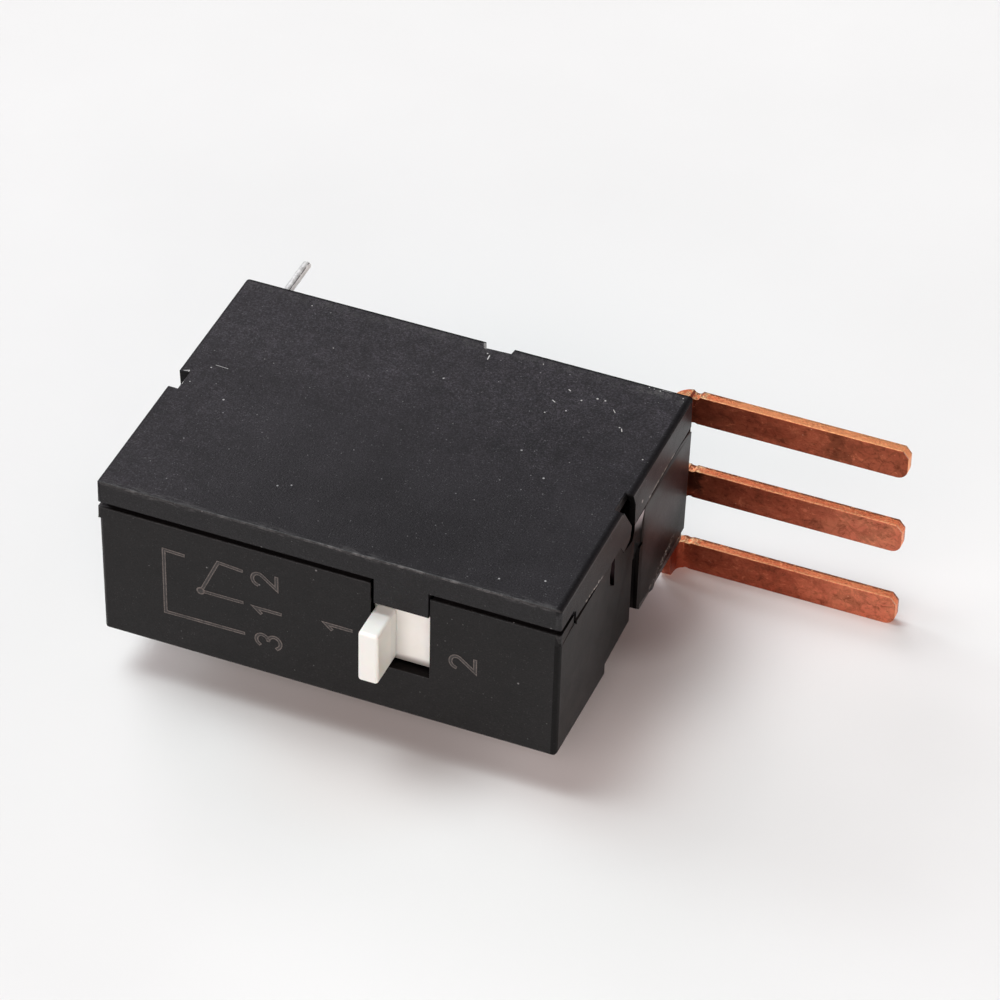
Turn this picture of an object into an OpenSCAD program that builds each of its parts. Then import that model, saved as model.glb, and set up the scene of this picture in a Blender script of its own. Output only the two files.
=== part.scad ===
// Magnetic latching relay, changeover type, flat pack with long copper
// terminal bars. Millimetres. The housing is described from its front-left
// bottom corner: X along the long side, Y from the lever face to the pin
// face, Z up. The row frame has its origin at the middle of the base's flat
// bottom, so every node is shifted there by place().

/* [Housing] */
// Length of the housing, left to right
body_l = 38.8; // [38:0.1:40]
// Depth of the housing, lever face to pin face
body_w = 28.4; // [28.2:0.1:29.2]
// Height of the closed housing
body_h = 15; // [15:0.1:15.6]
// Thickness of the outer walls
wall = 1.0; // [0.9:0.05:1.0]
// Thickness of the floor
floor_t = 1.0; // [0.8:0.05:1.0]
// Height of the visible joint line on the lever face
front_split = 12.45; // [12.2:0.05:12.6]
// Open gap at that joint line
split_gap = 0.5; // [0.3:0.05:0.6]
// Height of the joint line on the other three faces
side_split = 11.4; // [11.2:0.05:11.6]
// Draft of the base walls in degrees
draft = 0.5; // [0:0.1:0.8]

/* [Lever] */
// Travel of the hand lever between its two stops
lever_travel = 3.1; // [2.6:0.1:3.1]
// Width of the lever knob
knob_w = 1.7; // [1.5:0.05:1.8]
// How far the knob stands out of the lever face
knob_out = 2.6; // [2:0.1:3.2]
// Bottom of the knob above the base's bottom
knob_z0 = 4.7; // [4.6:0.05:4.9]
// Height of the knob
knob_h = 4.9; // [4.4:0.1:5.2]
// Left edge of the lever window
win_x0 = 23.1; // [22.9:0.05:23.3]
// Width of the lever window
win_w = 4.95; // [4.95:0.05:5.1]

/* [Terminals] */
// Thickness of the copper strip
strip_t = 0.9; // [0.8:0.05:1]
// Height of each terminal bar
bar_h = 2.75; // [2.5:0.05:2.8]
// Height step from bar to bar
bar_pitch = 7.6; // [7.4:0.05:7.7]
// Top edge of the uppermost bar above the base's bottom
bar_top = 13.8; // [13.6:0.05:13.85]
// How far the bars reach past the housing's right end
bar_reach = 17.6; // [10:0.1:20]
// Gap between the pin face and the bars
bar_gap = 1.5; // [1.4:0.05:1.8]
// Inner radius of the terminal bends
bend_r = 0.7; // [0.6:0.05:0.8]

/* [Coil] */
// Radius of the iron core inside the bobbin
core_r = 2.5; // [2:0.1:2.6]
// Outer radius of the inner (set) winding
set_r = 4.4; // [4.2:0.1:4.5]
// Outer radius of the outer (reset) winding
reset_r = 5.5; // [5.2:0.1:5.6]
// Radius of the coil pins
pin_r = 0.375; // [0.3:0.025:0.4]
// Pitch of the coil pins
pin_pitch = 5.08; // [5:0.01:5.1]
// Length of the coil pins outside the pin face
pin_out = 6.6; // [3:0.1:8]

/* [Armature] */
// Distance between the inner faces of the two armature plates
plate_gap = 3.2; // [3.2:0.05:3.3]
// Radius of the armature's trunnions
trunnion_r = 1.0; // [0.9:0.02:1.1]

/* [Contacts] */
// Radius of the contact heads
contact_r = 1.9; // [1.6:0.1:2]
// Thickness of the moving contact's leaf spring
leaf_t = 0.4; // [0.3:0.05:0.4]

/* [Hidden] */
$fn = 48;
e = 0.01;

L = body_l;
W = body_w;
T = body_h;
rim = wall / 2;                    // thickness of the skirt and of the inner rim
top_t = 1.0;                       // cover plate
back_wall = 1.2;
yi = W - back_wall;                // inner face of the back wall
inset = 0.12;                      // base set in behind the cover's skirt
flush = 0.03;                      // the same at the top of the right wall

// terminal strip plane, just inside the right wall
tx1 = L - 1.15;
tx0 = tx1 - strip_t;
by0 = W + bar_gap;                 // front face of the bars
by1 = by0 + strip_t;
bend_y = by0 - bend_r;             // where the outside bends begin
bend_x = tx1 + bend_r;
top_z = bar_top - bar_h;
com_z = top_z - bar_pitch;
bot_z = com_z - bar_pitch;

// contact stack
leaf_x = 32.0;                     // left face of the leaf spring at rest
hinge_y = 24.6;                    // where the leaf spring leaves its clamp
con_y = 8.0;
con_z = 7.4;
head_t = 0.9;
post_y = 3.2;
leaf_deg = atan(lever_travel / (hinge_y - post_y));
left_x1 = leaf_x - head_t - 0.05 - head_t; // right face of the bottom terminal's plate
left_x0 = left_x1 - strip_t;

// armature
ax = 17.5;
ay = 16.5;
arm_r = 13.2;
arm_deg = 2 * asin(lever_travel / 2 / arm_r);
arm_len = 6.5;
plate_t = 1.2;
run = 0.04;                        // running clearance on the trunnions

// coil
cx = 7.6;
cz = 7.2;
yoke_t = 1.5;
cy0 = 7.4;
cy1 = 25.6;
pin_x = 2.4;
pin_z = 7.5;

module place() translate([-L / 2, -W / 2, 0]) children();
// a box between two corners
module bx(x0, x1, y0, y1, z0, z1)
  translate([x0, y0, z0]) cube([x1 - x0, y1 - y0, z1 - z0]);
// a round bar along X, Y or Z from a starting point
module rx(x0, x1, y, z, r) translate([x0, y, z]) rotate([0, 90, 0]) cylinder(h = x1 - x0, r = r);
module ry(x, y0, y1, z, r) translate([x, y0, z]) rotate([-90, 0, 0]) cylinder(h = y1 - y0, r = r);
module rz(x, y, z0, z1, r) translate([x, y, z0]) cylinder(h = z1 - z0, r = r);
// a quarter ring seen from above: the bend of a strip, in quadrant (sx, sy)
module bend(x, y, ri, ro, sx, sy, z0, z1)
  intersection() {
    difference() {
      rz(x, y, z0, z1, ro);
      rz(x, y, z0 - 1, z1 + 1, ri);
    }
    bx(min(x, x + sx * 2 * ro), max(x, x + sx * 2 * ro),
       min(y, y + sy * 2 * ro), max(y, y + sy * 2 * ro), z0 - 1, z1 + 1);
  }
// side outline in Y and Z, as thick as x1 - x0
module yz(x0, x1, pts)
  translate([x0, 0, 0]) rotate([90, 0, 90]) linear_extrude(x1 - x0) polygon(pts);
// front outline in X and Z, as deep as y1 - y0
module xz(y0, y1, pts)
  translate([0, y1, 0]) rotate([90, 0, 0]) linear_extrude(y1 - y0) polygon(pts);

// ---------------------------------------------------------------- housing

// outer form of the base below the joint line, with draft on all four sides
module base_outer() {
  d = side_split * tan(draft);
  intersection() {
    xz(0, W, [[inset + d, 0], [L - flush - d, 0], [L - flush, side_split],
              [inset, side_split]]);
    yz(0, L, [[d, 0], [W - d, 0], [W, side_split], [0, side_split]]);
  }
}

// the lever window is an open slot in the front wall; the cover's tab
// closes the upper part of it
module window_cut() bx(win_x0, win_x0 + win_w, -1, wall + 0.05, 4.4, T);

module base() color("#26262a") place() {
  difference() {
    union() {
      difference() {
        union() {
          base_outer();
          // front lip and its short returns round both corners
          bx(0, L, 0, wall, side_split, front_split);
          bx(0, wall, wall, 2.7, side_split, front_split);
          bx(L - wall, L, wall, 2.7, side_split, front_split);
          // behind the right latch the wall's edge climbs a little to the rear
          yz(L - rim - 0.06, L - flush, [[17.95, side_split - 0.1], [W - 0.02, side_split - 0.1],
                                         [W - 0.02, side_split + 0.54], [25, side_split + 0.51],
                                         [22.5, side_split + 0.44], [20, side_split + 0.31],
                                         [17.95, side_split + 0.08]]);
          // inner rim that the cover's skirt fits over
          bx(rim + 0.05, L - rim - 0.05, rim + 0.05, W - rim - 0.05, side_split, 13.6);
        }
        bx(wall, L - wall, wall, yi, floor_t, T);
      }
      // raised floor over the sealing recess
      bx(L - 2.5, L - wall, 9.15, yi, floor_t, 2.2);
      // ledge that the lever slide runs on
      bx(14, win_x0, wall, 2.1, floor_t, 4.5);
      bx(win_x0, win_x0 + win_w, wall, 2.1, floor_t, 4.4);
      bx(win_x0 + win_w, L - wall, wall, 2.1, floor_t, 4.5);
      // guide posts behind the lever slide
      bx(21.6, 23.0, 2.2, 3.0, floor_t, 9);
      bx(27.6, 29.0, 2.2, 3.0, floor_t, 9);
      // lower bearing of the armature
      rz(ax, ay, floor_t, 2.7, 2.2);
      // seats under the yokes
      bx(10, 12.4, cy0 - 0.4, cy0 + 1.5, floor_t, 3.4);
      bx(10, 12.4, cy1 - 1.5, cy1 + 0.4, floor_t, 3.4);
      bx(14.4, 15.8, cy0 - 0.4, cy0 + 1.5, floor_t, 3.4);
      bx(14.4, 15.8, cy1 - 1.5, cy1 + 0.4, floor_t, 3.4);
      // barrier between the coil side and the contact chamber
      bx(24.2, 25.2, 5.4, 25.7, floor_t, 12);
      // seats for the terminal plates
      bx(left_x0 - 0.9, left_x1 + 0.7, 14, 16, floor_t, 2.4);
      bx(leaf_x - 1.3, leaf_x - 0.05, 20, 24, floor_t, com_z);
      bx(L - 2.2, L - wall, 5.5, 9.2, floor_t, 4.5);
      // ribs that the cover's latches bear on
      bx(L - wall, L - rim - 0.05, 12.2, 16, 10.4, side_split);
    }
    window_cut();
    // sealing recess under the right rear edge
    yz(L - 2.3, L + 1, [[10.45, -1], [10.45, 1.2], [15.7, 1.55], [17.6, 1.5], [20.4, 1.2],
                        [26, 1.65], [W + 1, 1.65], [W + 1, -1]]);
    // slot for the three terminals, open at the top
    bx(tx0 - 0.1, tx1 + 0.1, 25.9, W + 1, -1, T);
    bx(L - 2.9, tx1 + 0.1, 25.9, yi + 0.1, floor_t, 3.2);
    // slot for the coil pins, open at the top
    bx(pin_x - 0.5, pin_x + 0.5, yi - 0.5, W + 1, 1.9, T);
    // bearing hole
    rz(ax, ay, floor_t, 3, trunnion_r + run);
    // slot under the bottom terminal's plate
    bx(left_x0, left_x1, 13, 17, 1.1, 3);
    // coring groove on the right face, with a shallower recess and a ramp above it
    bx(L - 0.8, L + 1, 15.65, 17.3, -1, 7.9);
    bx(L - 0.2, L + 1, 15.9, 17.95, 7.89, 9.9);
    xz(15.9, 17.95, [[L - 0.2, 9.89], [L + 1, 9.89], [L + 1, side_split + 0.01], [L - flush, side_split + 0.01]]);
    // vent slot on the right face, wider at its lower end
    yz(L - 0.75, L + 1, [[10.9, side_split + 0.1], [11.5, side_split + 0.1], [11.65, 8.45],
                         [10.75, 9.1], [10.55, 10.2]]);
    // the joint line dips round the right latch
    yz(L - rim - 0.04, L + 1, [[12.6, side_split + 0.1], [13.45, 10.36], [13.69, 10.32], [14.55, 10.11],
                               [15.4, 10.08], [15.61, 10.36], [15.75, 10.84], [15.72, side_split + 0.1]]);
    // shadow groove under the lip's return
    yz(L - 0.34, L + 1, [[0.52, side_split - 0.24], [0.52, side_split + 0.05], [2.9, side_split + 0.38],
                         [3.5, side_split + 0.38], [3.45, side_split - 0.42], [3.05, side_split + 0.05]]);
    // the joint's ledge is eased at the front
    yz(L - rim, L + 1, [[3.1, side_split - 0.12], [7.4, side_split - 0.05], [8.4, side_split + 0.01],
                        [8.4, side_split + 0.1], [3.1, side_split + 0.1]]);
  }
}

// notch in the cover's edge through which the latch can be reached
module latch_notch(depth)
  xz(0, depth, [[-1.1, T + 1], [1.1, T + 1], [1.1, T], [1.45, side_split + 0.06],
                [1.2, side_split + 0.06], [-0.75, T - 0.4], [-1.1, T - 0.4]]);

module cover() color("#222226") place() {
  difference() {
    union() {
      bx(0, L, 0, W, T - top_t, T);
      difference() {
        union() {
          // front skirt with its returns, then the deeper side and rear skirt
          bx(0, L, 0, 2.75, front_split + split_gap, T - top_t + e);
          bx(0, L, 2.75, W, side_split + 0.06, T - top_t + e);
        }
        bx(rim, L - rim, rim, W - rim, 5, T - top_t);
      }
      // tab that closes the window above the lever
      bx(win_x0 + 0.25, win_x0 + win_w - 0.1, 0, wall - 0.05, 10.55, T - top_t + e);
      // latch tongue on the right skirt
      yz(L - rim, L, [[12.63, side_split + 0.1], [13.48, 10.42], [14.02, 10.55], [14.54, 10.68],
                      [14.83, 10.97], [14.95, side_split + 0.1]]);
      // the joint is tight between the vent slot and the tongue
      bx(L - rim, L, 8.4, 12.6, side_split + 0.02, side_split + 0.1);
      // rib that keeps the lever slide on its ledge
      bx(13.8, 37.2, 1.1, 1.9, 11.1, T - top_t + e);
      // upper bearing of the armature
      rz(ax, ay, 11.75, T - top_t + e, 2.2);
      // pads over the bobbin flanges
      bx(3, 11, 9.1, 9.8, 13.2, T - top_t + e);
      bx(3, 11, 23.2, 23.9, 13.2, T - top_t + e);
    }
    rz(ax, ay, 11, 13.8, trunnion_r + run);
    // the joint stands a little open on the right face, most of all at the front
    yz(L - rim - 0.01, L + 1, [[2.7, side_split], [2.7, side_split + 0.46], [6, side_split + 0.34],
                                      [8.4, side_split + 0.1], [8.4, side_split]]);
    yz(L - rim - 0.1, L + 1, [[15.6, side_split], [15.6, side_split + 0.12], [17.4, side_split + 0.2],
                              [18.2, side_split + 0.27], [20, side_split + 0.49], [22.5, side_split + 0.62],
                              [25, side_split + 0.69], [W + 1, side_split + 0.74], [W + 1, side_split]]);
    // short slit where the skirt steps down behind the front lip
    bx(L - rim - 0.01, L + 1, 2.7, 3.16, side_split, front_split + 0.2);
    // latch notches: right, left and rear edge
    yz(L - 0.66, L + 1, [[12.8, T + 1], [15.05, T + 1], [15.05, T], [15.7, 13.6], [15.72, 10.8],
                         [14.9, 10.8], [15.02, 11.9], [13.15, T - 0.4], [12.8, T - 0.4]]);
    translate([0.87, 14.15, 0]) rotate([0, 0, 90]) latch_notch(2);
    translate([0, 0, side_split - 1]) linear_extrude(T)
      polygon([[21, W + 0.05], [21.33, W - 0.76], [23.43, W - 0.67], [23.5, W + 0.05]]);
    // the top coil pin and the top terminal leave under the rear skirt
    bx(pin_x - 0.5, pin_x + 0.5, W - 1, W + 1, 10, pin_z + pin_pitch + 0.5);
    bx(tx0 - 0.1, tx1 + 0.1, W - 1, W + 1, 10, bar_top + 0.1);
  }
}

// hardened sealing resin round the coil pins
module pin_seal() color("#1b1b1c") place()
  difference() {
    bx(pin_x - 0.5, pin_x + 0.5, yi, W - 0.15, 1.9, side_split);
    for (k = [-1:1]) pin_root(k, yi - 1, W + 1);
  }

// sealing resin round the terminals, run out into the recess under the base
module terminal_seal() color("#1b1b1c") place()
  difference() {
    union() {
      bx(tx0 - 0.1, tx1 + 0.1, yi + 0.1, W - 0.15, 0.35, 10.85);
      bx(L - 2.3, L - 0.35, 18.6, W - 0.3, 0.35, 1.0);
    }
    bx(tx0, tx1, 25, W + 2, com_z, com_z + bar_h);
    bx(tx0, tx1, 25, W + 2, 0.4, 2.9);
  }

// ------------------------------------------------------------------ lever

module lever_slide() color("#f3efe2") place() {
  xk = win_x0 + 0.05;
  px = leaf_x + leaf_t / 2;
  tip_x = ax - lever_travel / 2;
  difference() {
    union() {
      // card behind the window
      bx(14.2, 34.0, 1.1, 2.1, 4.6, 11.0);
      // knob through the window
      bx(xk, xk + knob_w, -knob_out, 1.1 + e, knob_z0, knob_z0 + knob_h);
      // two ribs that hold the armature's arm
      bx(tip_x - 1.6, tip_x - 0.78, 2.1 - e, 4.6, 5.0, 10.2);
      bx(tip_x + 0.78, tip_x + 1.6, 2.1 - e, 4.6, 5.0, 10.2);
      // two round-nosed fingers that hold the leaf spring
      for (s = [-1, 1]) {
        bx(px + s * 0.85 - 0.5, px + s * 0.85 + 0.5, 2.1 - e, post_y, 5.0, 10.2);
        rz(px + s * 0.85, post_y, 5.0, 10.2, 0.5);
      }
    }
    // small sink on the hidden side saves weight behind the window
    bx(xk + knob_w + 0.6, xk + knob_w + 4.2, 1.75, 3, 6.0, 9.6);
  }
}

// -------------------------------------------------------------- terminals

// outside part: bend, bar with a rounded lower and a cut upper end corner,
// and a relief groove of the given depth in the upper edge beside the bend
module terminal_bar(z0, groove) {
  x1 = L + bar_reach;
  z1 = z0 + bar_h;
  difference() {
    union() {
      bend(bend_x, bend_y, bend_r, bend_r + strip_t, -1, 1, z0, z1);
      bx(bend_x, x1, by0, by1, z0, z1);
    }
    difference() {
      bx(x1 - 0.9, x1 + 1, by0 - 1, by1 + 1, z0 - 1, z0 + 0.9);
      ry(x1 - 0.9, by0 - 2, by1 + 2, z0 + 0.9, 0.9);
    }
    xz(by0 - 1, by1 + 1, [[x1 - 0.5, z1], [x1 + 1, z1 - 1.8], [x1 + 1, z1 + 1], [x1 - 0.5, z1 + 1]]);
    ry(bend_x + 0.08, by0 - 1, by1 + 1, z1 + 0.42 - groove, 0.42);
    ry(bend_x + 0.08, by0 - 1, by1 + 1, z0 - 0.32, 0.42);
  }
}

// top terminal: runs along the right wall to its contact
module terminal_top() color("#b5623c") place() {
  terminal_bar(top_z, 0.32);
  difference() {
    union() {
      bx(tx0, tx1, yi, bend_y, top_z, bar_top);
      bx(tx0, tx1, 5.5, yi + e, 10.9, 13.0);
      yz(tx0, tx1, [[5.5, 5.1], [6.1, 4.5], [11.4, 4.5], [12.0, 5.1], [13.6, 11.0], [5.5, 11.0]]);
    }
    rx(tx0 - 1, tx1 + 1, con_y, con_z, 1.0);
  }
}

// common terminal: crosses behind the contact chamber to the spring clamp
module terminal_common() color("#b5623c") place() {
  terminal_bar(com_z, 0.16);
  r0 = 0.3;
  r1 = r0 + strip_t;
  yc = hinge_y + r0;
  difference() {
    union() {
      bx(tx0, tx1, yc + r1, bend_y, com_z, com_z + bar_h);
      bend(tx0 - r0, yc + r1, r0, r1, 1, -1, com_z, com_z + bar_h);
      bx(35.6, tx0 - r0, yc, yc + strip_t, com_z, com_z + bar_h);
      xz(yc, yc + strip_t, [[leaf_x + r0, com_z], [35.6 + e, com_z], [35.6 + e, com_z + bar_h], [34.4, 10], [leaf_x + r0, 10]]);
      bend(leaf_x + r0, hinge_y, r0, r1, -1, 1, com_z, 10);
      bx(leaf_x - strip_t, leaf_x, 19.4, hinge_y, com_z, 10);
    }
    for (z = [5.2, 8.4]) rx(leaf_x - 2, leaf_x + 1, 22.4, z, 0.78);
  }
}

// bottom terminal: comes up behind the pin face, passes the sealed slot,
// crosses under the common terminal and runs forward on the left side
module terminal_bottom() color("#b5623c") place() {
  terminal_bar(bot_z, 0.12);
  r0 = 0.3;
  r1 = r0 + strip_t;
  ya = 26.1;
  difference() {
    union() {
      // web behind the pin face
      yz(tx0, tx1, [[W + 0.15, 0.4], [W + 0.15, 0.3], [W - 0.35, 0.1], [W - 0.35, bot_z + 0.9],
                    [W - 0.22, bot_z + 0.4], [W + 0.05, bot_z + 0.12], [W + 0.5, bot_z],
                    [bend_y, bot_z], [bend_y, bot_z + bar_h], [W + 1.25, bot_z + bar_h + 0.5],
                    [W + 1.25, 2.5], [W + 0.85, 2.9], [W + 0.15, 2.9]]);
      bx(tx0, tx1, ya + r1, W + 0.15 + e, 0.4, 2.9);
      bend(tx0 - r0, ya + r1, r0, r1, 1, -1, 1.1, 2.9);
      bx(35.6, tx0 - r0, ya, ya + strip_t, 1.1, 2.9);
      xz(ya, ya + strip_t, [[left_x1 + r0, 1.1], [35.6 + e, 1.1], [35.6 + e, 2.9], [34.2, 7.0], [left_x1 + r0, 7.0]]);
      bend(left_x1 + r0, ya - r0, r0, r1, -1, 1, 1.1, 7.0);
      yz(left_x0, left_x1, [[5.5, 4.9], [6.1, 4.3], [11.2, 4.3], [12.6, 1.1], [ya - r0, 1.1], [ya - r0, 7.0],
                            [13.6, 7.0], [12.0, 10.4], [6.1, 10.4], [5.5, 9.8]]);
    }
    rx(left_x0 - 1, left_x1 + 1, con_y, con_z, 1.0);
  }
}

// rivet contact with a flat head, set into a terminal plate
module rivet_contact(xh0, xh1, xs0, xs1) {
  rx(xh0, xh1, con_y, con_z, contact_r);
  rx(xs0, xs1, con_y, con_z, 1.0);
}
module fixed_contact_top() color("#cfcfca") place()
  rivet_contact(tx0 - head_t + 0.02, tx0, tx0 - e, tx1);
module fixed_contact_bottom() color("#cfcfca") place()
  rivet_contact(left_x1, left_x1 + head_t, left_x0, left_x1 + e);

// --------------------------------------------------------- moving contact

module contact_leaf() color("#c98a4b") place()
  difference() {
    yz(leaf_x, leaf_x + leaf_t,
       [[2.6, 5.2], [10.6, 5.2], [18.4, 3.7], [24.4, 3.7], [24.4, 9.9], [18.4, 9.9], [10.6, 9.6], [2.6, 9.6]]);
    rx(leaf_x - 1, leaf_x + 1, con_y, con_z, 0.8);
    for (z = [5.2, 8.4]) rx(leaf_x - 1, leaf_x + 1, 22.4, z, 0.6);
    // slot that makes the leaf limber
    bx(leaf_x - 1, leaf_x + 1, 12.2, 18.0, 6.7, 7.3);
  }

// double-headed rivet contact, both faces domed
module moving_contact() color("#d6d6d2") place() {
  dome = 0.35;
  rs = (contact_r * contact_r + dome * dome) / (2 * dome);
  intersection() {
    rx(leaf_x - head_t, leaf_x, con_y, con_z, contact_r);
    translate([leaf_x - head_t + rs, con_y, con_z]) rotate([0, 90, 0]) sphere(r = rs);
  }
  intersection() {
    rx(leaf_x + leaf_t, leaf_x + leaf_t + head_t, con_y, con_z, contact_r);
    translate([leaf_x + leaf_t + head_t - rs, con_y, con_z]) rotate([0, 90, 0]) sphere(r = rs);
  }
  rx(leaf_x - 0.05, leaf_x + leaf_t + 0.05, con_y, con_z, 0.8);
}

// rivets that clamp the leaf spring to the common terminal
module leaf_rivet(z) {
  rx(leaf_x + leaf_t, leaf_x + leaf_t + 0.5, 22.4, z, 1.05);
  rx(leaf_x - 0.55, leaf_x + leaf_t + e, 22.4, z, 0.6);
}
module leaf_rivet_lower() color("#b08d57") place() leaf_rivet(5.2);
module leaf_rivet_upper() color("#b08d57") place() leaf_rivet(8.4);

// ------------------------------------------------------------- coil system

module bobbin() color("#e8e4d8") place()
  difference() {
    union() {
      ry(cx, cy0 + yoke_t + 0.05, cy1 - yoke_t - 0.05, cz, 3.3);
      for (y = [cy0 + yoke_t + 0.05, cy1 - yoke_t - 1.05])
        bx(cx - 6, cx + 6, y, y + 1, 1.3, 13.1);
      // block that carries the three pins
      bx(1.2, 4.1, cy1 - yoke_t - 0.06, 26.9, 1.3, 13.3);
    }
    ry(cx, 0, W, cz, core_r);
    for (k = [-1:1]) pin_root(k, 24.6, W);
  }

module winding(r0, r1)
  difference() {
    ry(cx, cy0 + yoke_t + 1.1, cy1 - yoke_t - 1.1, cz, r1);
    ry(cx, 0, W, cz, r0);
  }
module set_winding() color("#a8431f") place() winding(3.3, set_r);
module reset_winding() color("#8f2f14") place() winding(set_r, reset_r);

module core() color("#8a8d90") place() {
  ry(cx, cy0 + yoke_t, cy1 - yoke_t, cz, core_r);
  ry(cx, cy0, cy1, cz, 1.8);
}

// yoke: riveted on the core's end, with a pole turned in between the plates
module yoke(y0, s) {
  x1 = ax + yoke_t / 2;
  yp = s > 0 ? y0 + yoke_t : y0;
  ro = yoke_t + 0.4;
  difference() {
    union() {
      bx(4.4, x1 - ro, y0, y0 + yoke_t, 3.4, 10.3);
      // bend and pole
      bend(x1 - ro, yp + s * 0.4, 0.4, ro, 1, -s, 3.9, 10.0);
      if (s > 0) bx(x1 - yoke_t, x1, yp + 0.4, 12.6, 3.9, 10.0);
      else bx(x1 - yoke_t, x1, 20.4, yp - 0.4, 3.9, 10.0);
    }
    ry(cx, y0 - 1, y0 + yoke_t + 1, cz, 1.8);
  }
}
module front_yoke() color("#9a9da0") place() yoke(cy0, 1);
module rear_yoke() color("#9a9da0") place() yoke(cy1 - yoke_t, -1);

// coil pin: square root in the bobbin, round and tinned outside
module pin_root(k, y0, y1)
  bx(pin_x - 0.33, pin_x + 0.33, y0, y1, pin_z + k * pin_pitch - 0.33, pin_z + k * pin_pitch + 0.33);
module coil_pin(k) {
  pin_root(k, 24.6, W - 0.15 + e);
  ry(pin_x, W - 0.15, W + pin_out - 0.15, pin_z + k * pin_pitch, pin_r);
  translate([pin_x, W + pin_out - 0.15 - e, pin_z + k * pin_pitch]) rotate([-90, 0, 0])
    cylinder(h = 0.15 + e, r1 = pin_r, r2 = pin_r - 0.14);
}
module coil_pin_upper() color("#c9cacb") place() coil_pin(1);
module coil_pin_middle() color("#c9cacb") place() coil_pin(0);
module coil_pin_lower() color("#c9cacb") place() coil_pin(-1);

// --------------------------------------------------------------- armature

// the armature rests turned towards the left stop
module armature_place() place() translate([ax, ay, 0]) rotate([0, 0, -arm_deg / 2]) children();

module armature_block() color("#2f3033") armature_place()
  union() {
    h = plate_gap / 2;
    bx(-3, 3, -3.2, 3.2, 2.9, 3.6);
    bx(-3, 3, -3.2, 3.2, 10.6, 11.4);
    bx(-h, h, 2.2, 3.2, 3.6 - e, 10.6 + e);
    bx(-h, h, -3.2, -2.2, 3.6 - e, 10.6 + e);
    rz(0, 0, 1.1, 2.9 + e, trunnion_r);
    rz(0, 0, 11.4 - e, 13.7, trunnion_r);
    // arm to the lever slide, with a round tip
    bx(-1.1, 1.1, -10.4, -3.1, 10.6, 11.6);
    bx(-0.55, 0.55, -arm_r, -10.3, 5.2, 11.6);
    rz(0, -arm_r, 5.2, 11.6, 0.7);
  }

module magnet() color("#55585c") armature_place()
  bx(-plate_gap / 2, plate_gap / 2, -2.2, 2.2, 3.6, 10.6);

module armature_plate(x)
  difference() {
    bx(x, x + plate_t, -arm_len, arm_len, 3.6, 10.6);
    // relief at the two ends
    for (y = [-arm_len, arm_len]) bx(x - 1, x + plate_t + 1, y - 0.6, y + 0.6, 9.9, 11);
  }
module armature_plate_left() color("#a3a6a8") armature_place()
  armature_plate(-plate_gap / 2 - plate_t);
module armature_plate_right() color("#a3a6a8") armature_place()
  armature_plate(plate_gap / 2);

base();
cover();
lever_slide();
terminal_top();
terminal_common();
terminal_bottom();
fixed_contact_top();
fixed_contact_bottom();
contact_leaf();
moving_contact();
leaf_rivet_lower();
leaf_rivet_upper();
bobbin();
set_winding();
reset_winding();
core();
front_yoke();
rear_yoke();
coil_pin_upper();
coil_pin_middle();
coil_pin_lower();
armature_block();
magnet();
armature_plate_left();
armature_plate_right();
pin_seal();
terminal_seal();
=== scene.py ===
import bpy
import bmesh
import math
from mathutils import Matrix, Quaternion, Vector, noise


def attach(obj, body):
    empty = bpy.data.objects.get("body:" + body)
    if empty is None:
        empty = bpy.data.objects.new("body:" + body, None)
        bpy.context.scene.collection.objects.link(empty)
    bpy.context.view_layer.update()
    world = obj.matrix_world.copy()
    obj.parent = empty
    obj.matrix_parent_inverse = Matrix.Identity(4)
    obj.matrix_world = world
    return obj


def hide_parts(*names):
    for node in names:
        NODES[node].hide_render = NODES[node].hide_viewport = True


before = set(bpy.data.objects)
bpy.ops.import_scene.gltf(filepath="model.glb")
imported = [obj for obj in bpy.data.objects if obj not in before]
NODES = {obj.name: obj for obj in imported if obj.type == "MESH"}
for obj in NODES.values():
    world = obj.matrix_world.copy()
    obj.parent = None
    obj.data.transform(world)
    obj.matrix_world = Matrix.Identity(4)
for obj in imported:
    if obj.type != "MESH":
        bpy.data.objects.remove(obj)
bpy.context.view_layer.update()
SCENE = bpy.context.scene

# Sizes below are in millimetres from the housing's front-left bottom corner:
# X along the long side, Y from the lever face to the pin face, Z up.
OX, OY = 19.4, 14.2
L, W, T = 38.8, 28.4, 15.0
FLOOR_Z = -4.15
PIN_X, PIN_Z = 2.4, 12.58   # axis of the upper coil pin


def at(x, y, z):
    """A point of the housing in the row frame, in metres."""
    return Vector(((x - OX) / 1000, (y - OY) / 1000, z / 1000))


# ------------------------------------------------------------------ camera

cam_data = bpy.data.cameras.new("camera")
cam = bpy.data.objects.new("camera", cam_data)
SCENE.collection.objects.link(cam)
cam_data.sensor_fit = "HORIZONTAL"
cam_data.sensor_width = 36
cam_data.lens = 187.17
cam_data.clip_start = 0.01
cam_data.clip_end = 20
cam.location = (0.122454, -0.292252, 0.271485)
cam.rotation_mode = "QUATERNION"
cam.rotation_quaternion = Quaternion((0.887277, 0.419052, 0.073269, 0.178233))
SCENE.camera = cam


# --------------------------------------------------------------- materials

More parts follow.
